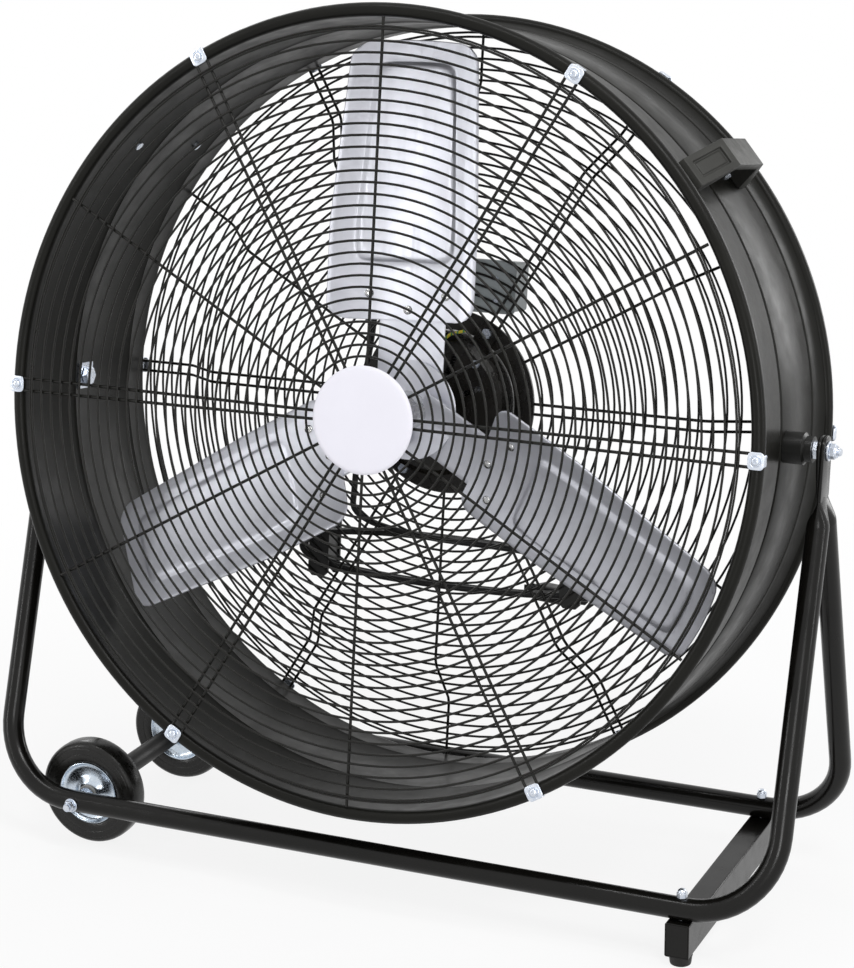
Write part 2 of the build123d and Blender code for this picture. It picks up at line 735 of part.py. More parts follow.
def motor_bell(front):
    """Cast end bell: a dished cap with a bearing seat, ribs inside the rim and slots behind."""
    radius = motor_dia / 2
    seat = bearing_dia / 2
    bore = shaft_dia / 2 + 1.5 if front else 0.0
    cup = [(radius, 0), (radius, bell_depth - 5), (radius - 6, bell_depth),
           (bore, bell_depth), (bore, bell_depth - bell_wall), (seat, bell_depth - bell_wall),
           (seat, bell_depth - bell_wall - bearing_width), (seat + 4, bell_depth - bell_wall - bearing_width),
           (seat + 4, bell_depth - bell_wall), (radius - 8, bell_depth - bell_wall),
           (radius - bell_wall, bell_depth - bell_wall - 4), (radius - bell_wall, 0)]
    bell = turned(cup)
    for k in range(8):
        slot = Pos(radius * 0.62, 0, bell_depth) * Box(radius * 0.3, 6, 3 * bell_wall)
        bell -= Rot(0, 0, 45 * k + 22.5) * slot
    for k in range(4):
        spot = polar(radius - 10, 45 + 90 * k, bell_depth - bell_wall / 2)
        bell -= Pos(*spot) * Cylinder(through_bolt_dia / 2 + hole_clear, 3 * bell_wall)
    if front:
        return Pos(0, 0, motor_front_z - bell_depth) * bell
    return Pos(0, 0, motor_rear_z + bell_depth) * mirror(bell, about=Plane.XY)


def motor_through_bolts():
    """Four long bolts that hold the two bells on the shell."""
    bolts = []
    for k in range(4):
        spot = polar(motor_dia / 2 - 10, 45 + 90 * k)
        bolt = rod((spot.X, spot.Y, motor_rear_z - 4), (spot.X, spot.Y, motor_front_z), through_bolt_dia)
        bolt += hexagon((spot.X, spot.Y, motor_front_z), (spot.X, spot.Y, motor_front_z + 3.5), 8)
        nut = hexagon((spot.X, spot.Y, motor_rear_z - 4), (spot.X, spot.Y, motor_rear_z), 8)
        bolts.append(bolt + nut)
    return group(*bolts)


stator_length = 44.0
stator_bore = 88.0
core_gap = 0.5
motor_middle_z = (motor_front_z + motor_rear_z) / 2


def motor_stator():
    """Laminated stack with its windings, tight in the shell between the bolts."""
    radius = motor_dia / 2 - motor_shell - 0.1
    stack = disc(radius, motor_middle_z - stator_length / 2, motor_middle_z + stator_length / 2,
                 stator_bore / 2)
    for k in range(4):
        stack -= Pos(*polar(motor_dia / 2 - 10, 45 + 90 * k, motor_middle_z)) * Cylinder(4.5, stator_length)
    return stack


def motor_bearings():
    """Ball bearings in the two bells."""
    front_high = motor_front_z - bell_wall
    rear_low = motor_rear_z + bell_wall
    bore = shaft_dia / 2 + running
    front = disc(bearing_dia / 2, front_high - bearing_width, front_high, bore)
    rear = disc(bearing_dia / 2, rear_low, rear_low + bearing_width, bore)
    return group(front, rear)


def motor_shaft():
    """Shaft from the rear bearing through the front bell to the blade hub."""
    return disc(shaft_dia / 2, motor_rear_z + bell_wall + gap, rotor_z + collar_length / 2 + 4)


def rotor_core():
    """Rotor iron on the shaft, inside the stator."""
    half = stator_length / 2
    return disc(stator_bore / 2 - core_gap, motor_middle_z - half, motor_middle_z + half, shaft_dia / 2)


def earth_wire():
    """Short insulated earth lead from a screw on the front bell over to the shell."""
    route = FilletPolyline((0, 55, motor_front_z + 2.0), (6, 66, motor_front_z + 4.0),
                           (17, 76, motor_front_z + 3.0), (30, 80, motor_front_z - 7.0), radius=9)
    start = Plane(origin=route @ 0, z_dir=route % 0)
    return sweep(start * Circle(1.6), path=route)


# ---------------------------------------------------------------- blades
def blade_prism(margin, root_margin, height):
    """The blade's outline, or a smaller one inside it, as a tall block along z."""
    tip = blade_tip_radius - margin
    root = blade_root_radius + root_margin
    lead = blade_lead_side - margin
    trail = blade_trail_side - margin
    tip_lead = blade_tip_lead - margin
    tip_trail = blade_tip_trail - margin
    tip_x_lead = math.sqrt(tip ** 2 - tip_lead ** 2)
    tip_x_trail = math.sqrt(tip ** 2 - tip_trail ** 2)
    middle = (root + tip) / 2 - 40
    outline = Polyline((tip_x_trail, -tip_trail), (middle, -trail), (root, -trail), (root, lead),
                       (middle, lead), (tip_x_lead, tip_lead))
    outline += ThreePointArc((tip_x_lead, tip_lead), (tip, 0), (tip_x_trail, -tip_trail))
    face = make_face(outline)
    radius = max(blade_corner_radius - margin / 3, 4)
    face = fillet(face.vertices().filter_by(lambda v: abs(v.X - middle) > 1), radius)
    return Pos(0, 0, -height / 2) * extrude(face, amount=height)


def blade_sheet_at(low, high):
    """A cambered sheet along the blade between two offsets from its rear face."""
    tall = blade_tip_radius + 10
    rear = blade_camber_radius - low
    front = blade_camber_radius - high
    section = Circle(rear) - Circle(front)
    half_angle = 0.9 * (blade_lead_side + blade_trail_side) / blade_camber_radius
    keep = Polyline((0, 0), (2 * rear * math.sin(half_angle), -2 * rear * math.cos(half_angle)),
                    (-2 * rear * math.sin(half_angle), -2 * rear * math.cos(half_angle)), close=True)
    section = Pos(0, blade_camber_radius) * section & Pos(0, blade_camber_radius) * make_face(keep)
    plane = Plane(origin=(0, 0, 0), x_dir=(0, 1, 0), z_dir=(1, 0, 0))
    return extrude(plane * section, amount=tall)


def rivet_hole(radius, side):
    """Drill square to the cambered sheet at this place on the blade."""
    lean = math.radians(blade_pitch)
    chord = side * math.cos(lean)
    lift = blade_camber_radius - math.sqrt(blade_camber_radius ** 2 - chord ** 2) + side * math.sin(lean)
    slope = math.degrees(math.asin(chord / blade_camber_radius))
    drill = Cylinder(rivet_dia / 2 + 0.05, 16)
    return Pos(radius, side, 0) * Rot(blade_pitch, 0, 0) * Pos(0, 0, lift) * Rot(slope, 0, 0) * drill


def blade():
    """One pressed paddle about the x axis: cambered sheet with a raised panel, pitched."""
    tall = 140
    outline = blade_prism(0, 0, tall)
    panel = blade_prism(panel_margin, panel_root_margin, tall)
    floor = blade_prism(panel_margin + blade_sheet, panel_root_margin + blade_sheet, tall)
    pitched = Rot(blade_pitch, 0, 0)
    base = pitched * blade_sheet_at(0, blade_sheet)
    deep = pitched * blade_sheet_at(0, blade_sheet + panel_raise)
    raised = pitched * blade_sheet_at(panel_raise, blade_sheet + panel_raise)
    paddle = (base & outline) - panel
    paddle += deep & (panel - floor)
    paddle += raised & floor
    for place in rivet_places:
        paddle -= rivet_hole(*place)
    return Pos(0, 0, rotor_z) * paddle


def hub_spider():
    """Disc with three pitched arms, behind the blades, that the blades are riveted to."""
    plate = disc(spider_radius, rotor_z - spider_sheet / 2, rotor_z + spider_sheet / 2)
    arm_start = collar_dia / 4
    arm = Pos((arm_start + spider_arm_reach) / 2, 0, 0)
    arm = arm * Box(spider_arm_reach - arm_start, spider_arm_width, 1.5 * spider_arm_width)
    arm = chamfer(arm.edges().filter_by(Axis.Z).group_by(Axis.X)[-1], 10)
    pitched = Rot(blade_pitch, 0, 0)
    arm = arm & (pitched * blade_sheet_at(-spider_sheet, 0))
    for place in rivet_places:
        arm -= rivet_hole(*place)
    for angle in blade_angles:
        plate += Rot(0, 0, angle) * Pos(0, 0, rotor_z) * arm
    return plate - disc(collar_dia / 2, rotor_z - spider_arm_width, rotor_z + spider_arm_width)


def blade_rivets():
    """Rivets through each blade's root and its arm, with a wide head in front."""
    rivets = []
    lean = math.radians(blade_pitch)
    for radius, side in rivet_places:
        chord = side * math.cos(lean)
        lift = blade_camber_radius - math.sqrt(blade_camber_radius ** 2 - chord ** 2)
        lift += side * math.sin(lean)
        slope = math.degrees(math.asin(chord / blade_camber_radius))
        rivet = stud((0, 0, -spider_sheet - 1.5), (0, 0, blade_sheet + 0.6), rivet_dia)
        rivet += stud((0, 0, blade_sheet + 0.6), (0, 0, blade_sheet + 2.4), 2 * rivet_dia)
        placed = Pos(radius, side, 0) * Rot(blade_pitch, 0, 0) * Pos(0, 0, lift) * Rot(slope, 0, 0) * rivet
        for angle in blade_angles:
            rivets.append(Rot(0, 0, angle) * Pos(0, 0, rotor_z) * placed)
    return group(*rivets)


def hub_collar():
    """Turned collar between the spider and the shaft, with a set screw boss."""
    collar = disc(collar_dia / 2, rotor_z - collar_length / 2, rotor_z + collar_length / 2, shaft_dia / 2)
    screw = rod((0, shaft_dia / 2 + 0.2, rotor_z - collar_length / 2 + 8),
                (0, collar_dia / 2 + 4, rotor_z - collar_length / 2 + 8), 8)
    return collar + screw


# ---------------------------------------------------------------- controls
lid_front_z = dish_plane_z - wire
box_front_z = lid_front_z - lid_thickness
box_rear_z = box_front_z - box_depth + lid_thickness


def between_rings(angle, count):
    """A place midway between two twelve-sided rings of the rear guard."""
    flat = math.cos(math.radians(15)) / math.cos(math.radians(angle % 30 - 15))
    spot = polar((rear_first_ring + ring_pitch * (count + 0.5)) * flat, angle)
    return (spot.X, spot.Y)


def box_screw_places():
    """The lid's four screws, all between wires."""
    return [between_rings(*place) for place in box_screw_angles]


def switch_box():
    """Open-fronted sheet steel box with screw posts, a switch hole and a cord hole."""
    middle = Pos(box_x, box_y, (box_front_z + box_rear_z) / 2)
    shell = middle * Box(box_width, box_height, box_front_z - box_rear_z)
    shell = fillet(shell.edges().filter_by(Axis.Z), 4)
    inner_depth = box_front_z - box_rear_z - box_wall
    room = Pos(box_x, box_y, box_rear_z + box_wall + inner_depth / 2)
    room = room * Box(box_width - 2 * box_wall, box_height - 2 * box_wall, inner_depth)
    shell -= fillet(room.edges().filter_by(Axis.Z), 2)
    for x, y in box_screw_places():
        post = Pos(x, y, box_rear_z + box_wall) * Cylinder(
            box_post_dia / 2, inner_depth, align=(Align.CENTER, Align.CENTER, Align.MIN))
        shell += post
    for x, y in box_screw_places():
        shell -= rod((x, y, box_front_z - 12), (x, y, box_front_z), box_screw_dia)
    shell -= rod((knob_x, box_y, box_rear_z - 1), (knob_x, box_y, box_rear_z + box_wall + 1),
                 knob_stem_dia + 2 * running)
    shell -= rod((box_x - box_width / 2 - 1, gland_y, gland_z), (box_x - box_width / 2 + 5, gland_y, gland_z),
                 cord_dia + 2 * hole_clear)
    return shell


gland_z = -112.0


def box_lid():
    """Flat lid against the guard wires."""
    lid = Pos(box_x, box_y, box_front_z + lid_thickness / 2)
    lid = lid * Box(box_width + 4, box_height + 4, lid_thickness)
    lid = fillet(lid.edges().filter_by(Axis.Z), 5)
    for x, y in box_screw_places():
        lid -= Pos(x, y, box_front_z) * Cylinder(box_screw_dia / 2 + hole_clear, 10)
    return lid


def box_screws():
    """Lid screws."""
    screws = []
    for x, y in box_screw_places():
        shank = stud((x, y, box_front_z - 11), (x, y, lid_front_z), box_screw_dia)
        head = stud((x, y, lid_front_z), (x, y, lid_front_z + 2), box_screw_head)
        screws.append(shank + head)
    return group(*screws)


def speed_switch():
    """Rotary switch on the inside of the box's rear wall."""
    low = box_rear_z + box_wall
    body = Pos(knob_x, box_y, low + switch_depth / 2) * Box(switch_size, switch_size, switch_depth)
    body = chamfer(body.edges().filter_by(Axis.Z), 3)
    return body - rod((knob_x, box_y, low), (knob_x, box_y, low + switch_depth), knob_stem_dia + 2 * running)


def speed_knob():
    """Knob behind the box, with a pointer rib and its stem into the switch."""
    face = box_rear_z - gap
    knob = rod((knob_x, box_y, face - knob_height), (knob_x, box_y, face), knob_dia)
    knob = chamfer(knob.faces().sort_by(Axis.Z)[0].edges(), 2)
    grip = Pos(knob_x, box_y, face - knob_height + 3) * Box(5, knob_dia + 6, 6)
    knob += Pos(0, 0, 0) * grip
    return knob + rod((knob_x, box_y, face), (knob_x, box_y, face + knob_stem_length), knob_stem_dia)


def cord_gland():
    """Hexagonal gland on the box's side with a tapered sleeve round the cord."""
    side = box_x - box_width / 2
    gland = hexagon((side - 6, gland_y, gland_z), (side, gland_y, gland_z), gland_dia)
    gland += rod((side - gland_length, gland_y, gland_z), (side - 6, gland_y, gland_z), gland_dia - 3)
    end = Plane(origin=(side - gland_length, gland_y, gland_z), z_dir=(-1, 0, 0))
    sleeve = loft([(end * Circle(gland_dia / 2 - 2.5)).face(),
                   (end.offset(relief_length) * Circle(cord_dia / 2 + 1.2)).face()])
    gland += sleeve
    return gland - rod((side - 60, gland_y, gland_z), (side + 1, gland_y, gland_z),
                       cord_dia + 2 * hole_clear)


# ---------------------------------------------------------------- cord
def cord_hook(side):
    """Peg with a base on the guard's rings and a lip that keeps the cord on."""
    x = side * hook_x
    base_low = lid_front_z - hook_sheet
    base = Pos(x, hook_y, base_low + hook_sheet / 2) * Box(hook_base_width, hook_base_height, hook_sheet)
    base = chamfer(base.edges().filter_by(Axis.Z), 5)
    peg_low = base_low - hook_length
    peg = Pos(x, hook_y, (peg_low + base_low) / 2) * Box(hook_width, hook_height, hook_length)
    peg = chamfer(peg.edges().filter_by(Axis.Z), 1.5)
    lip = Pos(x, hook_y, peg_low + hook_sheet / 2) * Box(hook_lip_width, hook_lip_height, hook_sheet)
    lip = chamfer(lip.edges().filter_by(Axis.Z), 3)
    return base + peg + lip


def cord_hooks():
    """The two hooks of the cord store."""
    return group(cord_hook(-1), cord_hook(1))


LEAD = [
    (-36.5, 138.0, -112.0),
    (-100.0, 138.0, -112.0),
    (-99.0, 84.0, -110.5),
    (-105.0, 30.0, -108.5),
    (-110.0, -30.0, -106.5),
    (-111.0, -92.0, -105.0),
    (-114.0, -153.5, -104.0),
]


def cord_route():
    """Corners of the cord: its lead down beside the motor, the wound turns, and the tucked end."""
    points = list(LEAD)
    step = coil_pitch / 4
    z = coil_first_z
    top = hook_y + coil_half_height
    low = hook_y - coil_half_height
    for turn in range(coil_turns):
        if turn > 0:
            points.append((-coil_half_width, low, z - step))
            points.append((-coil_half_width, top, z - 2 * step))
            z -= 2 * step
        points.append((coil_half_width, top, z - step))
        points.append((coil_half_width, low, z - 2 * step))
        z -= 2 * step
    points.append((coil_half_width - 40, low, z - 12))
    return points


def corner_radii(points):
    """Each corner's radius, from its shorter run and its turn, never over the coil's own."""
    radii = [0.0]
    for before, here, after in zip(points, points[1:], points[2:]):
        back = Vector(*here) - Vector(*before)
        ahead = Vector(*after) - Vector(*here)
        turn = math.radians(back.get_angle(ahead))
        radius = 0.45 * min(back.length, ahead.length) / math.tan(turn / 2)
        if turn > 1.2:
            radius = min(max(radius, coil_corner_radius), coil_corner_limit)
        radii.append(min(radius, 150.0))
    radii[1] = 34.0
    return radii + [0.0]


def cord_path():
    """The cord's centre line as straight runs and tangent arcs."""
    points = cord_route()
    return FilletPolyline(*points, radius=corner_radii(points)[1:-1])


def power_cord():
    """The whole cord as one unbroken tube."""
    path = cord_path()
    start = Plane(origin=path @ 0, z_dir=path % 0)
    return sweep(start * Circle(cord_dia / 2), path=path)


def plug():
    """Moulded plug on the cord's end with two flat blades and a round earth pin."""
    end = cord_path() @ 1
    way = (cord_path() % 1).normalized()
    seat = Plane(origin=end + way * gap, x_dir=(0, 0, 1), z_dir=way)
    body = extrude(seat * RectangleRounded(plug_width, plug_thickness, 5), amount=plug_length)
    front = seat.offset(plug_length)
    pins = []
    for side in (-1, 1):
        blade_pin = front * Pos(side * 6.35, 2) * Rectangle(1.6, 6.4)
        pins.append(extrude(blade_pin, amount=17))
    pins.append(extrude(front * Pos(0, -5) * Circle(plug_pin_dia / 2), amount=plug_pin_length))
    for pin in pins:
        body += pin
    return body


# ---------------------------------------------------------------- assembly
def assemble():
    """Every node by name, in the part's own frame."""
    nodes = {
        "front_stand_tube": frame_tube(-1, True),
        "rear_stand_tube": frame_tube(1, False),
        "foot_beam": foot_beam(),
        "rubber_feet": rubber_feet(),
        "foot_bolts": foot_bolts(),
        "foot_cap_nuts": foot_cap_nuts(),
        "wheel_axle": wheel_axle(),
        "axle_nuts": axle_nuts(),
        "axle_spacer_tube": axle_spacer_tube(),
        "wheel_spacers": wheel_spacers(),
    }
    for name, side in (("front", -1), ("rear", 1)):
        nodes[name + "_tyre"] = upright(tyre(), side)
        nodes[name + "_rim"] = upright(rim(), side)
        nodes[name + "_bush"] = upright(wheel_bush(), side)
    drum = {
        "drum_shell": drum_shell(),
        "front_guard": front_guard(),
        "guard_badge": guard_badge(),
        "rear_guard": rear_guard(),
        "front_guard_clips": clip_set(front_face_z, 1),
        "rear_guard_clips": clip_set(rear_face_z - spoke - wire, -1),
        "front_clip_screws": clip_screws(front_face_z, 1),
        "rear_clip_screws": clip_screws(rear_face_z - spoke - wire, -1),
        "right_handle": handle_on(1),
        "left_handle": handle_on(-1),
        "handle_screws": handle_screws(),
        "pivot_plates": pivot_plates(),
        "pivot_spacers": pivot_spacers(),
        "pivot_bolts": pivot_bolts(),
        "pivot_nuts": pivot_nuts(),
        "pivot_washers": pivot_washers(),
        "motor_housing": motor_housing(),
        "motor_front_bell": motor_bell(True),
        "motor_rear_bell": motor_bell(False),
        "motor_through_bolts": motor_through_bolts(),
        "motor_bearings": motor_bearings(),
        "motor_stator": motor_stator(),
        "motor_mount_ring": motor_mount_ring(),
        "motor_mount_bolts": motor_mount_bolts(),
        "earth_wire": earth_wire(),
        "switch_box": switch_box(),
        "box_lid": box_lid(),
        "box_screws": box_screws(),
        "speed_switch": speed_switch(),
        "speed_knob": speed_knob(),
        "cord_gland": cord_gland(),
        "cord_hooks": cord_hooks(),
        "power_cord": power_cord(),
        "plug": plug(),
        "motor_shaft": motor_shaft(),
        "rotor_core": rotor_core(),
        "hub_spider": hub_spider(),
        "hub_collar": hub_collar(),
        "blade_rivets": blade_rivets(),
    }
    paddle = blade()
    for number, angle in enumerate(blade_angles, 1):
        drum["blade_" + str(number)] = Rot(0, 0, angle) * paddle
    for name, shape in drum.items():
        nodes[name] = on_drum(shape)
    return nodes


def report_cord():
    """Print the cord's figures: its length, its bends, its volume and its least gap to itself."""
    path = cord_path()
    points = cord_route()
    radii = corner_radii(points)[1:-1]
    section = math.pi * cord_dia ** 2 / 4
    volume = power_cord().volume
    count = int(path.length / 3)
    spots = [path @ (i / count) for i in range(count + 1)]
    least = 1e9
    for i, one in enumerate(spots):
        for other in spots[i + 12:]:
            least = min(least, (one - other).length)
    print("cord length", round(path.length, 1), "tightest bend", round(min(radii), 1))
    print("cord volume", round(volume), "section x length", round(section * path.length))
    print("cord least gap to itself", round(least - cord_dia, 2))


os.makedirs("parts", exist_ok=True)
for node_name, node_shape in assemble().items():
    placed_shape = Pos(0, pivot_y, 0) * node_shape
    placed_shape.label = node_name
    export_step(placed_shape, os.path.join("parts", node_name + ".step"))
report_cord()
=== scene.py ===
import json
import math
import bmesh
import bpy
from mathutils import Matrix, Vector


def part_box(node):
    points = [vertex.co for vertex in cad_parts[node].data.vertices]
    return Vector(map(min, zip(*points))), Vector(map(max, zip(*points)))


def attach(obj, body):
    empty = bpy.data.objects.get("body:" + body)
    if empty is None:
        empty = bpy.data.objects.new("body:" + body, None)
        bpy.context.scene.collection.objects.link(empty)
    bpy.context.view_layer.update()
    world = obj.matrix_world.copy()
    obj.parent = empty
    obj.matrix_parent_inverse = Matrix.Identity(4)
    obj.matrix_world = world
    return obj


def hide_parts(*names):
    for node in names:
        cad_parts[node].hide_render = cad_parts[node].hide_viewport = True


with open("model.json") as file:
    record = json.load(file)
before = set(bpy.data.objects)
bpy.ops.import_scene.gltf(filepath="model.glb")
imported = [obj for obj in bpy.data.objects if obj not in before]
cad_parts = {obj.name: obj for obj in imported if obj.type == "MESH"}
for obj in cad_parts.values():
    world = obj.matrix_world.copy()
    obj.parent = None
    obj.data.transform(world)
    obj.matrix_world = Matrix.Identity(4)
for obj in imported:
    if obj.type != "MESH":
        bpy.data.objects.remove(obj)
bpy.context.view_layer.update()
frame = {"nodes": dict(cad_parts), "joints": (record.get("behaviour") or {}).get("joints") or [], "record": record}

bl_info = {
    "name": "Drum Fan Builder",
    "version": (1, 0, 0),
    "blender": (4, 5, 0),
    "location": "View3D > Sidebar > Drum Fan",
    "description": "Builds a tilting drum fan with welded wire guards around its packed CAD model",
    "category": "Add Mesh",
}

# Metres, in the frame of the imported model. Pieces of the drum are made about its own axis, with
# z along the axis to the front guard and y up across the drum, and are then laid in place.
JOINTS = {joint["name"]: joint for joint in frame["joints"]}
PIVOT = Vector(JOINTS["drum_tilt"]["pos_m"])
AXIS = Vector(JOINTS["fan_spin"]["axis"]).normalized()
HUB = Vector(JOINTS["front_wheel_spin"]["pos_m"])
ACROSS = Vector((1.0, 0.0, 0.0))
PI = math.pi


def basis(x_way, y_way, z_way):
    """The turn that lays x, y and z along these ways."""
    return Matrix((x_way, y_way, z_way)).transposed().to_4x4()


DRUM = Matrix.Translation(PIVOT) @ basis(ACROSS, AXIS.cross(ACROSS), AXIS)
MIRROR = Matrix.Scale(-1.0, 4, (0.0, 0.0, 1.0))
BLADE_ANGLES = (90.0, 210.0, 330.0)
SIXTHS = [60.0 * k for k in range(6)]


# ------------------------------------------------------------------ sizes and colours
def length(name, description, default, low=0.0, high=2.0):
    """A length that a user may change, in metres."""
    return bpy.props.FloatProperty(name=name, description=description, default=default, min=low,
                                   max=high, precision=4, subtype="DISTANCE", unit="LENGTH")


def paint(name, description, default):
    """A colour that a user may change."""
    return bpy.props.FloatVectorProperty(name=name, description=description, default=default, size=3,
                                         min=0.0, max=1.0, subtype="COLOR")


class DrumFanSizes(bpy.types.PropertyGroup):
    """Lengths of the fan's pieces."""
    drum_radius: length("Drum radius", "Outside of the drum's sheet", 0.3975)
    drum_sheet: length("Drum sheet", "Thickness of the drum's sheet", 0.0015)
    bead_radius: length("Rolled edge radius", "Radius of the drum's rolled edges", 0.007)
    front_bead: length("Front edge", "Middle of the front rolled edge, ahead of the pivot", 0.116)
    rear_bead: length("Rear edge", "Middle of the rear rolled edge, behind the pivot", 0.128)
    ring_wire: length("Ring wire", "Thickness of the guards' rings", 0.0026)
    spoke_wire: length("Spoke wire", "Thickness of the guards' spokes", 0.0032)
    ring_pitch: length("Ring pitch", "Distance from one ring to the next", 0.01145)
    first_ring: length("First ring", "Radius of the front guard's smallest ring", 0.0636)
    hub_pair: length("Twin gap at the hub", "Between twin spokes, at the badge", 0.0085)
    rim_pair: length("Twin gap at the rim", "Between twin spokes, at the drum", 0.013)
    badge_radius: length("Badge radius", "Radius of the bare badge", 0.0545)
    dish_plane: length("Dish depth", "Rear guard's middle, behind the pivot", 0.094)
    dish_outer: length("Dish outer radius", "Where the rear guard steps in", 0.335)
    dish_inner: length("Dish inner radius", "Where the step ends", 0.286)
    rear_first_ring: length("First rear ring", "Radius of the rear guard's smallest ring", 0.106)
    tube_radius: length("Frame tube radius", "Radius of the bent frame tubes", 0.0115)
    stand_half_width: length("Stand half width", "Leg centre lines from the middle", 0.4355)
    stand_half_depth: length("Stand half depth", "Bottom runs from under the pivot", 0.137)
    bend_radius: length("Tube bend radius", "Centre-line radius of the bottom corners", 0.084)
    axle_height: length("Axle height", "Wheel axle over the floor", 0.0585)
    leg_top: length("Leg top", "Height where the pressed ends begin", 0.424)
    leg_spread: length("Leg spread", "Tops of the legs from under the pivot", 0.0132)
    blade_tip: length("Blade tip radius", "Radius of the blade tips", 0.377)
    blade_root: length("Blade root radius", "Radius of the blade roots", 0.092)
    blade_camber: length("Blade camber radius", "Radius of the blades' hollow", 0.330)
    blade_sheet: length("Blade sheet", "Thickness of the blade sheet", 0.002)
    motor_radius: length("Motor radius", "Radius of the motor's shell", 0.076)
    cord_diameter: length("Cord diameter", "Diameter of the rubber cord", 0.007)


class DrumFanColours(bpy.types.PropertyGroup):
    """Colours of the fan's finishes."""
    frame_paint: paint("Frame paint", "Powder coat of the stand", (0.0045, 0.0042, 0.0036))
    drum_paint: paint("Drum paint", "Powder coat of the drum", (0.007, 0.0069, 0.0056))
    wire_coating: paint("Wire coating", "Coat of the wire guards", (0.006, 0.0058, 0.0045))
    zinc: paint("Zinc plate", "Plated screws, clips and rims", (0.66, 0.69, 0.74))
    aluminium: paint("Aluminium", "Mill finish of the blades", (0.78, 0.79, 0.86))
    badge: paint("Badge", "Bare badge on the front guard", (0.80, 0.79, 0.86))
    rubber: paint("Tyre rubber", "Rubber of the tyres and feet", (0.008, 0.0077, 0.007))
    plastic: paint("Moulded plastic", "Handles and distance pieces", (0.030, 0.030, 0.027))
    motor: paint("Motor paint", "Black enamel of the motor", (0.008, 0.007, 0.0055))
    box: paint("Box paint", "Grey enamel of the switch box", (0.28, 0.305, 0.31))


def sizes():
    """The lengths as they are set in the scene."""
    return bpy.context.scene.drum_fan_sizes


def colours():
    """The colours as they are set in the scene."""
    return bpy.context.scene.drum_fan_colours


# ------------------------------------------------------------------ modelling helpers
def to_object_mode():
    """Leave edit mode."""
    bpy.ops.object.mode_set(mode="OBJECT")


def start_piece():
    """Leave nothing selected before a new piece is begun."""
    if bpy.context.object is not None and bpy.context.object.mode != "OBJECT":
        to_object_mode()
    bpy.ops.object.select_all(action="DESELECT")


def choose(piece):
    """Make one piece the selected and active one."""
    start_piece()
    piece.select_set(True)
    bpy.context.view_layer.objects.active = piece
    return piece


def edit(piece):
    """Enter edit mode with the whole piece selected."""
    choose(piece)
    bpy.ops.object.mode_set(mode="EDIT")
    bpy.ops.mesh.select_all(action="SELECT")
    return piece


def pick(piece, kind, wanted):
    """Enter edit mode with just those edges or faces selected that are wanted."""
    edit(piece)
    bpy.ops.mesh.select_mode(type=kind)
    bpy.ops.mesh.select_all(action="DESELECT")
    mesh = bmesh.from_edit_mesh(piece.data)
    mesh.normal_update()
    for item in (mesh.edges if kind == "EDGE" else mesh.faces):
        if wanted(item):
            item.select_set(True)
    bmesh.update_edit_mesh(piece.data)
    return piece


def run_of(edge):
    """The vector along an edge."""
    return edge.verts[1].co - edge.verts[0].co


def push_edges(way):
    """Extrude the selected ring of edges."""
    bpy.ops.mesh.extrude_edges_move(TRANSFORM_OT_translate={"value": tuple(way)})


def push_faces(way):
    """Extrude the selected faces."""
    bpy.ops.mesh.extrude_region_move(TRANSFORM_OT_translate={"value": tuple(way)})


def pick_open_rims():
    """Select just the edges where the wall is open."""
    bpy.ops.mesh.select_all(action="DESELECT")
    bpy.ops.mesh.select_mode(type="EDGE")
    bpy.ops.mesh.select_non_manifold()


def steps_in(*steps):
    """Inset the picked faces step by step: (thickness, depth) of each."""
    for thickness, depth in steps:
        bpy.ops.mesh.inset(thickness=thickness, depth=depth)
    to_object_mode()


def modify(piece, kind, **settings):
    """Add a modifier with these settings and apply it."""
    choose(piece)
    made = piece.modifiers.new(kind.lower(), kind)
    for key, value in settings.items():
        setattr(made, key, value)
    bpy.ops.object.modifier_apply(modifier=made.name)
    return piece


def soften(piece, width, segments=2, angle=35.0):
    """Round the sharp edges of a piece."""
    return modify(piece, "BEVEL", width=width, segments=segments, limit_method="ANGLE",
                  angle_limit=math.radians(angle), miter_outer="MITER_ARC", harden_normals=False)


def smooth(piece, angle):
    """Smooth shading across edges flatter than this angle."""
    choose(piece)
    bpy.ops.object.shade_smooth_by_angle(angle=math.radians(angle))
    return piece


def outward(piece):
    """Merge doubles and turn all faces outwards."""
    edit(piece)
    bpy.ops.mesh.remove_doubles(threshold=0.00002)
    bpy.ops.mesh.normals_make_consistent(inside=False)
    to_object_mode()
    return piece


def sheet_of(piece, thickness, offset, edge):
    """Give a pressed surface its thickness and eased edges."""
    outward(piece)
    if sum(face.normal.z for face in piece.data.polygons) < 0:
        piece.data.flip_normals()
    modify(piece, "SOLIDIFY", thickness=thickness, offset=offset, use_even_offset=True)
    return soften(piece, edge, 2, 60.0)


def join(pieces):
    """One object from several."""
    start_piece()
    for piece in pieces:
        piece.select_set(True)
    bpy.context.view_layer.objects.active = pieces[0]
    if len(pieces) > 1:
        bpy.ops.object.join()
    return bpy.context.view_layer.objects.active


def copy_of(piece, place):
    """A copy with its own mesh, laid at a new place."""
    twin = piece.copy()
    twin.data = piece.data.copy()
    bpy.context.collection.objects.link(twin)
    twin.data.transform(place)
    return twin


def copies(first, places):
    """Copies of a first piece at these places, in its stead."""
    made = [copy_of(first, place) for place in places]
    bpy.data.objects.remove(first)
    return made


def around(first, angles):
    """Copies of a first piece turned about the drum's axis, in its stead."""
    return copies(first, [about_z(angle) for angle in angles])


def settle(piece, place=None):
    """Bake the object's own place into its mesh, then lay the mesh at its place on the fan."""
    choose(piece)
    bpy.ops.object.transform_apply(location=True, rotation=True, scale=True)
    if place is not None:
        piece.data.transform(place)
    return piece


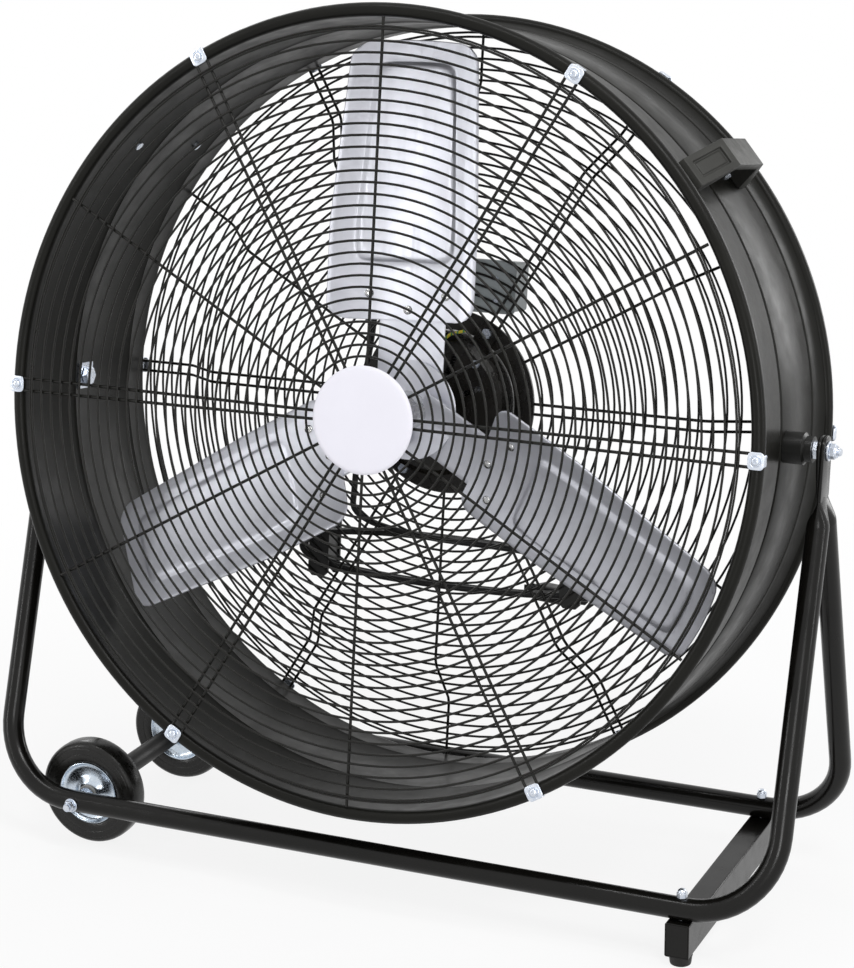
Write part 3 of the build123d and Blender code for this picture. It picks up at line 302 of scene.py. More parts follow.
def finish_piece(piece, name, body, slot, *nodes):
    """Name a piece, give it its finish and let it ride on its body in place of its CAD nodes."""
    piece.name = name
    piece.data.name = name
    piece.data.materials.clear()
    piece.data.materials.append(FINISH[slot])
    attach(piece, body)
    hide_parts(*nodes)
    return piece


def finish_on_drum(piece, angle, name, body, slot, *nodes):
    """Smooth a piece made about the drum's axis, lay it in place and finish it."""
    smooth(piece, angle)
    piece.data.transform(DRUM)
    return finish_piece(piece, name, body, slot, *nodes)


def about_z(degrees):
    """A turn about the drum's axis."""
    return Matrix.Rotation(math.radians(degrees), 4, "Z")


def polar(radius, degrees):
    """A point at this radius and angle about the drum's axis."""
    return Vector((radius * math.cos(math.radians(degrees)), radius * math.sin(math.radians(degrees)), 0.0))


def aimed(start, way):
    """The place of a piece made along z from the origin: its start and the way it runs."""
    return Matrix.Translation(start) @ Vector(way).to_track_quat("Z", "Y").to_matrix().to_4x4()


def turned(stations, flats, closed=True, angle=None, place=None):
    """Turn a profile: one circle is extruded and scaled through (radius, z) stations.

    A closed profile joins its last circle to its first, and an open one is capped.
    """
    start_piece()
    radius, height = stations[0]
    bpy.ops.mesh.primitive_circle_add(vertices=flats, radius=radius, fill_type="NOTHING")
    piece = edit(bpy.context.object)
    bpy.ops.transform.translate(value=(0.0, 0.0, height))
    if not closed:
        bpy.ops.mesh.edge_face_add()
        pick_open_rims()
    for next_radius, next_height in stations[1:]:
        push_edges((0.0, 0.0, next_height - height))
        scale = next_radius / radius
        radius, height = next_radius, next_height
        bpy.ops.transform.resize(value=(scale, scale, 1.0), center_override=(0.0, 0.0, height))
    if closed:
        pick_open_rims()
        bpy.ops.mesh.bridge_edge_loops()
    else:
        bpy.ops.mesh.edge_face_add()
    bpy.ops.mesh.select_mode(type="VERT")
    outward(piece)
    if angle is not None:
        smooth(piece, angle)
    if place is not None:
        piece.data.transform(place)
    return piece


def bar(start, end, radius, sides):
    """A round bar between two points."""
    start_piece()
    run = Vector(end) - Vector(start)
    bpy.ops.mesh.primitive_cylinder_add(vertices=sides, radius=radius, depth=run.length,
                                        location=(0.0, 0.0, run.length / 2))
    return settle(bpy.context.object, aimed(start, run))


def block(middle, size):
    """A box about its middle."""
    start_piece()
    bpy.ops.mesh.primitive_cube_add(size=1.0, location=middle, scale=size)
    return settle(bpy.context.object)


def nut(start, end, flats, crown, turn=0.0):
    """A hexagon nut or bolt head between two points, with chamfered corners."""
    start_piece()
    run = Vector(end) - Vector(start)
    bpy.ops.mesh.primitive_cylinder_add(vertices=6, radius=flats / math.sqrt(3.0), depth=run.length,
                                        location=(0.0, 0.0, run.length / 2), rotation=(0.0, 0.0, turn))
    piece = soften(settle(bpy.context.object), crown)
    piece.data.transform(aimed(start, run))
    return piece


# ------------------------------------------------------------------ finishes
FINISH = {}


def new_finish(name, colour, roughness, gloss=0.5, metallic=0.0):
    """A principled material, its node tree and its shader."""
    finish = bpy.data.materials.new(name)
    finish.use_nodes = True
    shader = finish.node_tree.nodes["Principled BSDF"]
    for socket, value in (("Base Color", (*colour, 1.0)), ("Metallic", metallic),
                          ("Roughness", roughness), ("Specular IOR Level", gloss)):
        shader.inputs[socket].default_value = value
    return finish, finish.node_tree, shader


def node_with(tree, kind, **values):
    """A new node with constants on its sockets, named with low dashes for their spaces."""
    node = tree.nodes.new(kind)
    for socket, value in values.items():
        node.inputs[socket.replace("_", " ")].default_value = value
    return node


def pattern(tree, field, source="Object", **mapping):
    """Lay a texture on the piece's own coordinates or on its UV map."""
    where = tree.nodes.new("ShaderNodeTexCoord")
    turn = node_with(tree, "ShaderNodeMapping", **mapping)
    tree.links.new(where.outputs[source], turn.inputs["Vector"])
    tree.links.new(turn.outputs["Vector"], field.inputs["Vector"])
    return field.outputs["Fac"]


def noise(tree, cells, detail, stretch=(1.0, 1.0, 1.0), distortion=0.0):
    """Noise on the object's own coordinates, in cells per metre."""
    field = node_with(tree, "ShaderNodeTexNoise", Scale=cells, Detail=detail, Distortion=distortion)
    return pattern(tree, field, Scale=stretch)


def spread(tree, source, low, high, start=0.3, end=0.7):
    """Map a field to a range of values."""
    node = node_with(tree, "ShaderNodeMapRange", From_Min=start, From_Max=end, To_Min=low, To_Max=high)
    tree.links.new(source, node.inputs["Value"])
    return node.outputs["Result"]


def blend_colour(tree, shader, factor, one, other):
    """Colour of the shader between two tones by a field."""
    mix = tree.nodes.new("ShaderNodeMix")
    mix.data_type = "RGBA"
    mix.inputs["A"].default_value = (*one, 1.0)
    mix.inputs["B"].default_value = (*other, 1.0)
    tree.links.new(factor, mix.inputs["Factor"])
    tree.links.new(mix.outputs["Result"], shader.inputs["Base Color"])


def relief(tree, shader, source, depth, strength, beneath=None):
    """Bump from a field, in metres of depth."""
    bump = node_with(tree, "ShaderNodeBump", Distance=depth, Strength=strength)
    tree.links.new(source, bump.inputs["Height"])
    if beneath is not None:
        tree.links.new(beneath, bump.inputs["Normal"])
    tree.links.new(bump.outputs["Normal"], shader.inputs["Normal"])
    return bump.outputs["Normal"]


def worn(name, colour, roughness, gloss, tones, clouds, sheen, grain, metallic=0.0,
         tint=(1.0, 1.0, 1.0), brushed=(1.0, 1.0, 1.0), swell=None):
    """A finish with cloudy tones, uneven gloss and a fine relief.

    tones: the darkest and the lightest share of the colour. clouds: cells per metre and detail.
    sheen: the same, and the least and the most that is added to the roughness. grain: cells per
    metre, detail, depth and strength. swell: the same for a broader relief beneath the grain.
    """
    finish, tree, shader = new_finish(name, colour, roughness, gloss, metallic)
    low = [min(c * tones[0] * t, 1.0) for c, t in zip(colour, tint)]
    high = [min(c * tones[1], 1.0) for c in colour]
    blend_colour(tree, shader, spread(tree, noise(tree, *clouds), 0.0, 1.0), low, high)
    field = noise(tree, *sheen[:2], brushed)
    uneven = spread(tree, field, roughness + sheen[2], roughness + sheen[3])
    tree.links.new(uneven, shader.inputs["Roughness"])
    beneath = relief(tree, shader, noise(tree, *swell[:2]), *swell[2:]) if swell else None
    relief(tree, shader, noise(tree, *grain[:2]), *grain[2:], beneath)
    return finish


def powder_coat(name, colour, roughness, peel=900.0, depth=0.00012, gloss=0.25):
    """Baked powder coat: orange peel, slightly uneven gloss and a trace of dust."""
    return worn(name, colour, roughness, gloss, (0.85, 1.24), (14.0, 5.0), (45.0, 4.0, -0.05, 0.08),
                (peel, 2.0, depth, 0.4), swell=(60.0, 2.0, depth * 0.6, 0.35))


def zinc_plate(name, colour, roughness=0.28):
    """Bright zinc plate: metallic, with faint clouds and fine scratches."""
    return worn(name, colour, roughness, 0.5, (0.80, 1.0), (260.0, 5.0), (700.0, 3.0, -0.08, 0.12),
                (1500.0, 2.0, 0.00003, 0.5), 1.0, (1.0, 1.05, 1.125), (1.0, 0.2, 1.0))


def pale_moulding(name, colour):
    """Smooth pale plastic with the faintest clouds."""
    return worn(name, colour, 0.42, 0.4, (0.985, 1.0), (30.0, 3.0), (60.0, 3.0, -0.04, 0.08),
                (1800.0, 2.0, 0.00005, 0.4))


def moulded_plastic(name, colour, roughness=0.5):
    """Textured injection moulded plastic."""
    return worn(name, colour, roughness, 0.3, (0.85, 1.2), (40.0, 4.0), (90.0, 3.0, -0.06, 0.08),
                (1600.0, 2.0, 0.0001, 0.6))


def black_rubber(name, colour, roughness=0.55):
    """Moulded rubber with a dry bloom and fine grain."""
    return worn(name, colour, roughness, 0.3, (0.8, 1.6), (35.0, 5.0), (160.0, 4.0, -0.12, 0.1),
                (1200.0, 2.0, 0.00012, 0.6))


def cast_metal(name, colour, roughness):
    """Enamelled casting: a sandy skin under gloss paint."""
    return worn(name, colour, roughness, 0.3, (0.8, 1.5), (30.0, 5.0), (60.0, 3.0, -0.1, 0.1),
                (500.0, 4.0, 0.0004, 0.6))


def mill_aluminium(name, colour, roughness=0.36):
    """Rolled aluminium sheet: rolling marks along the sheet, dull patches and small dents."""
    finish, tree, shader = new_finish(name, colour, roughness, metallic=0.62)
    field = node_with(tree, "ShaderNodeTexNoise", Scale=1.0, Detail=4.0)
    marks = pattern(tree, field, "UV", Scale=(9.0, 900.0, 1.0))
    clouds = noise(tree, 18.0, 5.0, distortion=0.8)
    low = [c * 0.80 for c in colour]
    blend_colour(tree, shader, spread(tree, clouds, 0.0, 1.0, 0.25, 0.75), low, colour)
    tree.links.new(spread(tree, marks, roughness - 0.08, roughness + 0.12), shader.inputs["Roughness"])
    broad = relief(tree, shader, clouds, 0.0016, 0.3)
    relief(tree, shader, marks, 0.00012, 0.6, broad)
    return finish


def with_lathe_marks(finish, pitch, depth):
    """Fine circular marks round the wheels' axis, along Y."""
    tree = finish.node_tree
    rings = node_with(tree, "ShaderNodeTexWave", Scale=0.314 / pitch, Distortion=1.5, Detail=3.0)
    rings.wave_type = "RINGS"
    rings.rings_direction = "Y"
    marks = pattern(tree, rings, Location=(-HUB.x, 0.0, -HUB.z), Scale=(1.0, 0.0, 1.0))
    relief(tree, tree.nodes["Principled BSDF"], marks, depth, 0.5)
    return finish


def striped_wire(name):
    """Green and yellow insulation of an earth wire, in slanting stripes."""
    yellow, green = (0.75, 0.62, 0.03), (0.03, 0.22, 0.05)
    finish, tree, shader = new_finish(name, yellow, 0.4)
    stripes = pattern(tree, node_with(tree, "ShaderNodeTexWave", Scale=60.0))
    blend_colour(tree, shader, spread(tree, stripes, 0.0, 1.0, 0.72, 0.78), yellow, green)
    return finish


def make_finishes():
    """All finishes by the record's slot names."""
    tone = colours()
    bright = [min(1.0, c * 1.1) for c in tone.zinc]
    return {
        "black_frame_paint": powder_coat("frame powder coat", tone.frame_paint, 0.2, gloss=0.24),
        "black_drum_paint": powder_coat("drum powder coat", tone.drum_paint, 0.34, 700.0, gloss=0.13),
        "black_wire_coating": powder_coat("wire coating", tone.wire_coating, 0.32, 1400.0, 0.00008, 0.24),
        "black_tube_paint": powder_coat("axle tube paint", tone.frame_paint, 0.42),
        "grey_box_paint": powder_coat("box enamel", tone.box, 0.45, 800.0),
        "zinc_hardware": zinc_plate("zinc hardware", tone.zinc),
        "zinc_clips": zinc_plate("zinc clips", bright, 0.32),
        "dark_screws": zinc_plate("dark screws", (0.25, 0.25, 0.26), 0.35),
        "bright_steel": zinc_plate("bright steel", (0.62, 0.61, 0.59), 0.22),
        "zinc_rim": with_lathe_marks(zinc_plate("zinc rim", (0.62, 0.68, 0.74), 0.2), 0.0009, 0.00005),
        "black_rubber": black_rubber("foot rubber", tone.rubber),
        "cord_rubber": black_rubber("cord rubber", (0.012, 0.012, 0.012), 0.5),
        "tyre_rubber": with_lathe_marks(black_rubber("tyre rubber", tone.rubber, 0.3), 0.0016, 0.0001),
        "grey_bush": moulded_plastic("bush plastic", (0.28, 0.28, 0.27)),
        "black_handle_plastic": moulded_plastic("handle plastic", tone.plastic, 0.48),
        "black_plastic": moulded_plastic("black plastic", [c * 0.2 for c in tone.plastic], 0.36),
        "pale_badge": pale_moulding("badge plastic", tone.badge),
        "motor_paint": cast_metal("motor enamel", tone.motor, 0.28),
        "blade_aluminium": mill_aluminium("mill aluminium", tone.aluminium),
        "earth_wire_cover": striped_wire("earth wire cover"),
    }


class DRUMFAN_OT_finishes(bpy.types.Operator):
    """Finishes for every piece that keeps its CAD shape"""
    bl_idname = "drum_fan.finishes"
    bl_label = "Finishes"

    def execute(self, context):
        """Give each CAD piece the finish of its slot."""
        FINISH.update(make_finishes())
        for part in frame["record"]["subparts"]:
            node = frame["nodes"][part["node"]]
            finish = FINISH[part["material_slot"]]
            if not node.material_slots:
                node.data.materials.append(finish)
            for held in node.material_slots:
                held.link = "OBJECT"
                held.material = finish
        return {"FINISHED"}


# ------------------------------------------------------------------ camera, floor and light
# The photograph's viewpoint: lens in millimetres, place in metres, turns in radians.
LENS = 95.79
LENS_SHIFT = -0.0413
VIEWPOINT = (1.0560, -2.3705, 1.1549)
VIEW_YAW, VIEW_PITCH, VIEW_ROLL = -0.4152, -0.2620, -0.0060
LIT_POINT = (0.0, 0.0, 0.45)
# Each lamp: place, width, height and power.
LAMPS = {
    "key lamp": ((1.5, -1.6, 3.0), 0.9, 0.7, 34.0),
    "overhead strip": ((-0.1, -0.9, 3.1), 2.4, 0.22, 21.0),
    "left strip": ((-2.5, -2.3, 1.3), 0.16, 2.2, 16.0),
    "front lamp": ((1.6, -3.6, 0.8), 1.0, 0.7, 22.0),
    "side strip": ((3.0, -0.2, 1.4), 0.2, 2.4, 19.0),
    "rear lamp": ((1.9, 2.9, 1.2), 1.2, 1.8, 30.0),
    "rear left lamp": ((-2.4, 2.6, 2.2), 1.0, 1.0, 14.0),
}


def make_camera():
    """The photograph's viewpoint."""
    lens = bpy.data.cameras.new("camera")
    lens.lens = LENS
    lens.sensor_width = 36.0
    lens.sensor_fit = "AUTO"
    lens.shift_y = LENS_SHIFT
    lens.clip_end = 60.0
    camera = bpy.data.objects.new("camera", lens)
    bpy.context.scene.collection.objects.link(camera)
    ahead = Vector((math.sin(VIEW_YAW) * math.cos(VIEW_PITCH), math.cos(VIEW_YAW) * math.cos(VIEW_PITCH),
                    math.sin(VIEW_PITCH)))
    level = Vector((math.cos(VIEW_YAW), -math.sin(VIEW_YAW), 0.0))
    upright = level.cross(ahead)
    right = math.cos(VIEW_ROLL) * level + math.sin(VIEW_ROLL) * upright
    up = math.cos(VIEW_ROLL) * upright - math.sin(VIEW_ROLL) * level
    camera.matrix_world = Matrix.Translation(VIEWPOINT) @ basis(right, up, -ahead)
    bpy.context.scene.camera = camera


def soft_box(name, place, width, height, power):
    """A rectangular lamp that faces the fan."""
    lamp = bpy.data.lights.new(name, "AREA")
    lamp.shape = "RECTANGLE"
    lamp.size = width
    lamp.size_y = height
    lamp.energy = power
    holder = bpy.data.objects.new(name, lamp)
    bpy.context.scene.collection.objects.link(holder)
    run = Vector(LIT_POINT) - Vector(place)
    holder.matrix_world = Matrix.Translation(place) @ run.to_track_quat("-Z", "Y").to_matrix().to_4x4()
    holder.visible_camera = False


def combined(tree, operation, one, other):
    """Two values worked into one."""
    node = tree.nodes.new("ShaderNodeMath")
    node.operation = operation
    tree.links.new(one, node.inputs[0])
    tree.links.new(other, node.inputs[1])
    return node.outputs[0]


def mixed(tree, factor, one, other, out):
    """Two shaders mixed into an output's surface."""
    mix = tree.nodes.new("ShaderNodeMixShader")
    tree.links.new(factor, mix.inputs["Fac"])
    tree.links.new(one.outputs[0], mix.inputs[1])
    tree.links.new(other.outputs[0], mix.inputs[2])
    tree.links.new(mix.outputs[0], out.inputs["Surface"])


def make_world():
    """Plain white round the object for the camera and for reflections, dimmer as a light."""
    world = bpy.data.worlds.new("studio")
    bpy.context.scene.world = world
    world.use_nodes = True
    tree = world.node_tree
    tree.nodes.clear()
    rays = tree.nodes.new("ShaderNodeLightPath").outputs
    seen = combined(tree, "MAXIMUM", rays["Is Camera Ray"], rays["Is Transmission Ray"])
    seen = combined(tree, "MAXIMUM", seen, rays["Is Glossy Ray"])
    light, white = (node_with(tree, "ShaderNodeBackground", Color=(1.0, 1.0, 1.0, 1.0), Strength=strength)
                    for strength in (0.42, 1.0))
    mixed(tree, seen, light, white, tree.nodes.new("ShaderNodeOutputWorld"))


def floor_finish():
    """Pale floor that keeps a soft shadow and is near white for the camera."""
    finish, tree, shader = new_finish("studio floor", (0.82, 0.82, 0.83), 0.9)
    low, high = (0.80, 0.80, 0.81), (0.84, 0.84, 0.85)
    blend_colour(tree, shader, spread(tree, noise(tree, 3.0, 2.0), 0.0, 1.0), low, high)
    rays = tree.nodes.new("ShaderNodeLightPath").outputs
    seen = combined(tree, "MAXIMUM", rays["Is Camera Ray"], rays["Is Glossy Ray"])
    away = tree.nodes.new("ShaderNodeVectorMath")
    away.operation = "LENGTH"
    where = tree.nodes.new("ShaderNodeTexCoord")
    tree.links.new(where.outputs["Object"], away.inputs[0])
    share = combined(tree, "MULTIPLY", seen, spread(tree, away.outputs["Value"], 0.86, 1.0, 0.5, 1.4))
    glow = node_with(tree, "ShaderNodeEmission", Color=(1.0, 1.0, 1.0, 1.0))
    mixed(tree, share, shader, glow, tree.nodes["Material Output"])
    return finish


class DRUMFAN_OT_stage(bpy.types.Operator):
    """Camera, pale floor and soft studio light"""
    bl_idname = "drum_fan.stage"
    bl_label = "Stage"

    def execute(self, context):
        """Set the viewpoint, the floor and the lamps."""
        make_camera()
        make_world()
        context.scene.view_settings.view_transform = "Standard"
        start_piece()
        bpy.ops.mesh.primitive_plane_add(size=30.0)
        floor = settle(bpy.context.object)
        floor.name = "floor"
        floor.data.materials.append(floor_finish())
        for name, (place, width, height, power) in LAMPS.items():
            soft_box(name, place, width, height, power)
        return {"FINISHED"}


# ------------------------------------------------------------------ cord
# The cord's lead about the drum's own frame. Its turns on the hooks follow from cord_route().
CORD_LEAD = [
    (-0.0365, 0.138, -0.112),
    (-0.100, 0.138, -0.112),
    (-0.099, 0.084, -0.1105),
    (-0.105, 0.030, -0.1085),
    (-0.110, -0.030, -0.1065),
    (-0.111, -0.092, -0.105),
    (-0.114, -0.1535, -0.104),
]


def cord_route():
    """Control points of the cord: the lead, three turns over the two hooks and the tucked end."""
    points = list(CORD_LEAD)
    reach, top, low, step = 0.1755, -0.1535, -0.2045, 0.00215
    z = -0.104
    for turn in range(3):
        if turn > 0:
            points.append((-reach, low, z - step))
            points.append((-reach, top, z - 2 * step))
            z -= 2 * step
        points.append((reach, top, z - step))
        points.append((reach, low, z - 2 * step))
        z -= 2 * step
    points.append((reach - 0.040, low, z - 0.012))
    return points


class DRUMFAN_OT_cord(bpy.types.Operator):
    """Rubber cord from the switch box, wound over the two hooks"""
    bl_idname = "drum_fan.cord"
    bl_label = "Cord"

    def execute(self, context):
        """Lay the cord as one smooth spline."""
        points = [DRUM @ Vector(point) for point in cord_route()]
        curve = bpy.data.curves.new("power_lead", "CURVE")
        curve.dimensions = "3D"
        curve.resolution_u = 16
        curve.bevel_depth = sizes().cord_diameter / 2
        curve.bevel_resolution = 4
        curve.use_fill_caps = True
        spline = curve.splines.new("NURBS")
        spline.points.add(len(points) - 1)
        for held, point in zip(spline.points, points):
            held.co = (*point, 1.0)
        spline.order_u = 3
        spline.use_endpoint_u = True
        lead = bpy.data.objects.new("power_lead", curve)
        bpy.context.collection.objects.link(lead)
        curve.materials.append(FINISH["cord_rubber"])
        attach(lead, "drum")
        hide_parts("power_cord")
        return {"FINISHED"}


# ------------------------------------------------------------------ drum
# Half sections of the wall's two grooves: distance from the groove's middle, depth.
OUTER_GROOVE = ((0.0042, 0.0), (0.0028, 0.0006), (0.0012, 0.0021), (0.0, 0.0025))
INNER_GROOVE = ((0.0040, 0.0), (0.0016, 0.0011), (0.0, 0.0016))
GROOVES = (-0.095, 0.019)
# Coves beside the rolled edges: height over the wall's outside, place along the axis. The rear
# one runs on to a lip: height over the wall's outside, distance from the middle of its edge.
REAR_COVE = ((0.0050, -0.1190), (0.0029, -0.1145), (0.0014, -0.1100), (0.0004, -0.1050))
FRONT_COVE = ((0.0, 0.1000), (0.0006, 0.1040), (0.0021, 0.1080), (0.0046, 0.1110))
REAR_LIP = (0.0076, 0.0045)
SEAM_SIZE, SEAM_MIDDLE, SEAM_ANGLE = (0.0006, 0.0035, 0.222), -0.006, -128.0
ROUND_STEPS = 192


def ring_of_wire(radius, z, wire_radius, steps, sides):
    """A round wire or rolled edge about the drum's axis."""
    start_piece()
    bpy.ops.mesh.primitive_torus_add(major_radius=radius, minor_radius=wire_radius, major_segments=steps,
                                     minor_segments=sides, location=(0.0, 0.0, z))
    return settle(bpy.context.object)


def grooved(radius, half):
    """The wall's line along its grooves, from the rear to the front."""
    line = []
    for middle in GROOVES:
        line += [(radius - depth, middle - offset) for offset, depth in half]
        line += [(radius - depth, middle + offset) for offset, depth in reversed(half[:-1])]
    return line


class DRUMFAN_OT_drum(bpy.types.Operator):
    """Rolled drum with two stiffening grooves and rolled edges"""
    bl_idname = "drum_fan.drum"
    bl_label = "Drum"

    def execute(self, context):
        """Turn the wall and add its edges and its seam."""
        size = sizes()
        outer, inner = size.drum_radius, size.drum_radius - size.drum_sheet
        outside = [(outer + REAR_LIP[0], -size.rear_bead + REAR_LIP[1])]
        outside += [(outer + rise, z) for rise, z in REAR_COVE]
        outside += grooved(outer, OUTER_GROOVE)
        outside += [(outer + rise, z) for rise, z in FRONT_COVE]
        inside = [(inner, size.front_bead)] + grooved(inner, INNER_GROOVE)[::-1] + [(inner, -size.rear_bead)]
        pieces = [turned(outside + inside, ROUND_STEPS)]
        for z in (size.front_bead, -size.rear_bead):
            pieces.append(ring_of_wire(inner + size.bead_radius, z, size.bead_radius, ROUND_STEPS, 20))
        seam = soften(block((0.0, 0.0, 0.0), SEAM_SIZE), 0.00025)
        seam.data.transform(about_z(SEAM_ANGLE) @ Matrix.Translation((outer + 0.0001, 0.0, SEAM_MIDDLE)))
        finish_on_drum(join(pieces + [seam]), 30.0, "rolled_drum", "drum", "black_drum_paint", "drum_shell")
        return {"FINISHED"}


# ------------------------------------------------------------------ wire guards
FRONT_RINGS = 29
STEP_RINGS = 4
# How far the hub ring, the spokes' inner ends, their outer ends and the rim ring stand in from the
# badge's edge and from the drum's outside.
HUB_RING_INSET, SPOKE_HUB_INSET, SPOKE_RIM_INSET, RIM_RING_INSET = 0.006, 0.010, 0.0015, 0.0108
LAST_REAR_RING_INSET = 0.0068
SPOKE_BEND = 0.004
# The badge's rounded edge, in from its radius and up from the rings, and its flat middle.
BADGE_EDGE = ((0.0004, 0.0), (0.0, 0.0004), (0.0, 0.0014), (0.0010, 0.0024), (0.0036, 0.0029),
              (0.0060, 0.0030))
BADGE_FLAT = (0.018, 0.0030)


def welded_ring(radius, z, wire):
    """One ring of a guard, with fewer steps where it is small."""
    return ring_of_wire(radius, z, wire / 2, 128 if radius > 0.2 else 88, 8)


def bent_wire(points, wire):
    """A round wire through points, extruded run by run."""
    start_piece()
    points = [Vector(point) for point in points]
    bpy.ops.mesh.primitive_circle_add(vertices=8, radius=wire / 2, fill_type="NGON")
    piece = edit(settle(bpy.context.object, aimed(points[0], points[1] - points[0])))
    for here, there in zip(points, points[1:]):
        push_faces(there - here)
    to_object_mode()
    return outward(piece)


def spoke_set(pair, single):
    """Six twin spokes and six single ones between them, from one of each."""
    return around(pair, SIXTHS) + around(single, [angle + 30.0 for angle in SIXTHS])


class DRUMFAN_OT_front_guard(bpy.types.Operator):
    """Flat front guard of welded round wire with its bare badge"""
    bl_idname = "drum_fan.front_guard"
    bl_label = "Front guard"

    def execute(self, context):
        """Weld rings on twin and single spokes, and turn the badge."""
        size = sizes()
        face = size.front_bead + size.bead_radius
        ring_z = face + size.ring_wire / 2
        spoke_z = face - size.spoke_wire / 2
        hub, rim = size.badge_radius - SPOKE_HUB_INSET, size.drum_radius - SPOKE_RIM_INSET
        pieces = [welded_ring(size.first_ring + size.ring_pitch * i, ring_z, size.ring_wire)
                  for i in range(FRONT_RINGS)]
        pieces.append(welded_ring(size.drum_radius - RIM_RING_INSET, ring_z - 0.0002,
                                  size.ring_wire - 0.0004))
        pieces.append(welded_ring(size.badge_radius - HUB_RING_INSET, ring_z, size.ring_wire))
        left, right, single = (bar((hub, side * size.hub_pair / 2, spoke_z),
                                   (rim, side * size.rim_pair / 2, spoke_z), size.spoke_wire / 2, 8)
                               for side in (-1.0, 1.0, 0.0))
        finish_on_drum(join(pieces + spoke_set(join([left, right]), single)), 50.0, "front_wire_guard",
                       "drum", "black_wire_coating", "front_guard")

        low = face + size.ring_wire
        stations = [(size.badge_radius - cut, low + rise) for cut, rise in BADGE_EDGE]
        stations.append((BADGE_FLAT[0], low + BADGE_FLAT[1]))
        finish_on_drum(turned(stations, 128, closed=False), 40.0, "centre_badge", "drum", "pale_badge",
                       "guard_badge")
        return {"FINISHED"}


def rear_rings(flat, plane, room):
    """Radius and height of each ring: the flat middle, the slope out of it and the outer plane."""
    size = sizes()
    ring, pitch = size.ring_wire, size.ring_pitch
    rings = []
    for i in range(int((size.dish_inner - 0.004 - size.rear_first_ring) / pitch) + 1):
        rings.append((size.rear_first_ring + pitch * i, flat - ring / 2))
    for i in range(STEP_RINGS):
        share = (i + 0.5) / STEP_RINGS
        radius = size.dish_inner + share * (size.dish_outer - size.dish_inner)
        rings.append((radius - ring / 2, flat + share * (plane - flat) - 0.7 * ring))
    for i in range(int((room - size.dish_outer - pitch / 2) / pitch) + 1):
        rings.append((size.dish_outer + pitch * (i + 0.5), plane - ring / 2))
    rings[-1] = (rings[-1][0] - LAST_REAR_RING_INSET, rings[-1][1])
    return rings


def stepped_spoke(flat, plane, room, offset):
    """One spoke of the rear guard, bent twice on its way from the rim to the motor."""
    size = sizes()
    rise = size.spoke_wire / 2
    outer = Vector((size.dish_outer + 0.0007, offset, plane + rise))
    inner = Vector((size.dish_inner + 0.0007, offset, flat + rise))
    run = (inner - outer).normalized() * SPOKE_BEND
    rim, hub = Vector((room + 0.004, offset, outer.z)), Vector((size.motor_radius + 0.004, offset, inner.z))
    return bent_wire([rim, outer + ACROSS * SPOKE_BEND, outer + run, inner - run,
                      inner - ACROSS * SPOKE_BEND, hub], size.spoke_wire)


class DRUMFAN_OT_rear_guard(bpy.types.Operator):
    """Dished rear guard of welded round wire"""
    bl_idname = "drum_fan.rear_guard"
    bl_label = "Rear guard"

    def execute(self, context):
        """Weld rings in three planes on stepped spokes."""
        size = sizes()
        flat, plane = -size.dish_plane, -size.rear_bead - size.bead_radius - size.spoke_wire
        room = size.drum_radius - size.drum_sheet + size.bead_radius - 0.002
        rings = [welded_ring(radius, z, size.ring_wire) for radius, z in rear_rings(flat, plane, room)]
        gap = (size.hub_pair + size.rim_pair) / 4
        left, right, single = (stepped_spoke(flat, plane, room, side * gap) for side in (-1.0, 1.0, 0.0))
        finish_on_drum(join(rings + spoke_set(join([left, right]), single)), 50.0, "rear_wire_guard",
                       "drum", "black_wire_coating", "rear_guard")
        return {"FINISHED"}


# ------------------------------------------------------------------ guard clips
# Sizes of the clip's flat pieces, and turned sections of its dish and of its screw: radius, height.
CLIP_PAD, CLIP_PAD_CORNER, CLIP_LEG = (0.0160, 0.0170, 0.0015), 0.0042, (0.0014, 0.0112, 0.0104)
CLIP_DISH = [(0.0064, 0.0012), (0.0064, 0.0019), (0.0058, 0.0022), (0.0052, 0.0019), (0.0047, 0.0013)]
PAN_HEAD = [(0.0042, 0.0010), (0.0042, 0.0026), (0.0037, 0.0034), (0.0026, 0.0039), (0.0013, 0.0040),
            (0.0010, 0.0035)]


def pressed_clip(middle, reach):
    """One plated clip on the x axis, seated at z = 0, with the dish for its screw."""
    pad = block((reach - 0.0069, 0.0, CLIP_PAD[2] / 2), CLIP_PAD)
    pick(pad, "EDGE", lambda edge: abs(run_of(edge).z) > 0.001)
    bpy.ops.mesh.bevel(offset=CLIP_PAD_CORNER, segments=6, affect="EDGES")
    to_object_mode()
    leg = block((reach + 0.0004, 0.0, -0.0042), CLIP_LEG)
    dish = turned(CLIP_DISH, 32, closed=False, place=Matrix.Translation((middle, 0.0, 0.0)))
    return join([soften(pad, 0.0006, 3), soften(leg, 0.0006), dish])


class DRUMFAN_OT_clips(bpy.types.Operator):
    """Plated clips and screws that hold the guards on the rolled edges"""
    bl_idname = "drum_fan.clips"
    bl_label = "Guard clips"

    def execute(self, context):
        """Six clips with screws at each end."""
        size = sizes()
        middle = size.drum_radius - size.drum_sheet + size.bead_radius
        front = size.front_bead + size.bead_radius
        rear = -(size.rear_bead + size.bead_radius + size.spoke_wire + size.ring_wire)
        for end, level in (("front", front), ("rear", rear)):
            clip = pressed_clip(middle, middle + size.bead_radius)
            screw = turned(PAN_HEAD, 24, closed=False, place=Matrix.Translation((middle, 0.0, 0.0)))
            for piece, name, slot, node in (
                    (clip, end + "_pressed_clips", "zinc_clips", end + "_guard_clips"),
                    (screw, end + "_hex_screws", "zinc_hardware", end + "_clip_screws")):
                if end == "rear":
                    piece.data.transform(MIRROR)
                    outward(piece)
                piece.data.transform(Matrix.Translation((0.0, 0.0, level)))
                finish_on_drum(join(around(piece, SIXTHS)), 40.0, name, "drum", slot, node)
        return {"FINISHED"}


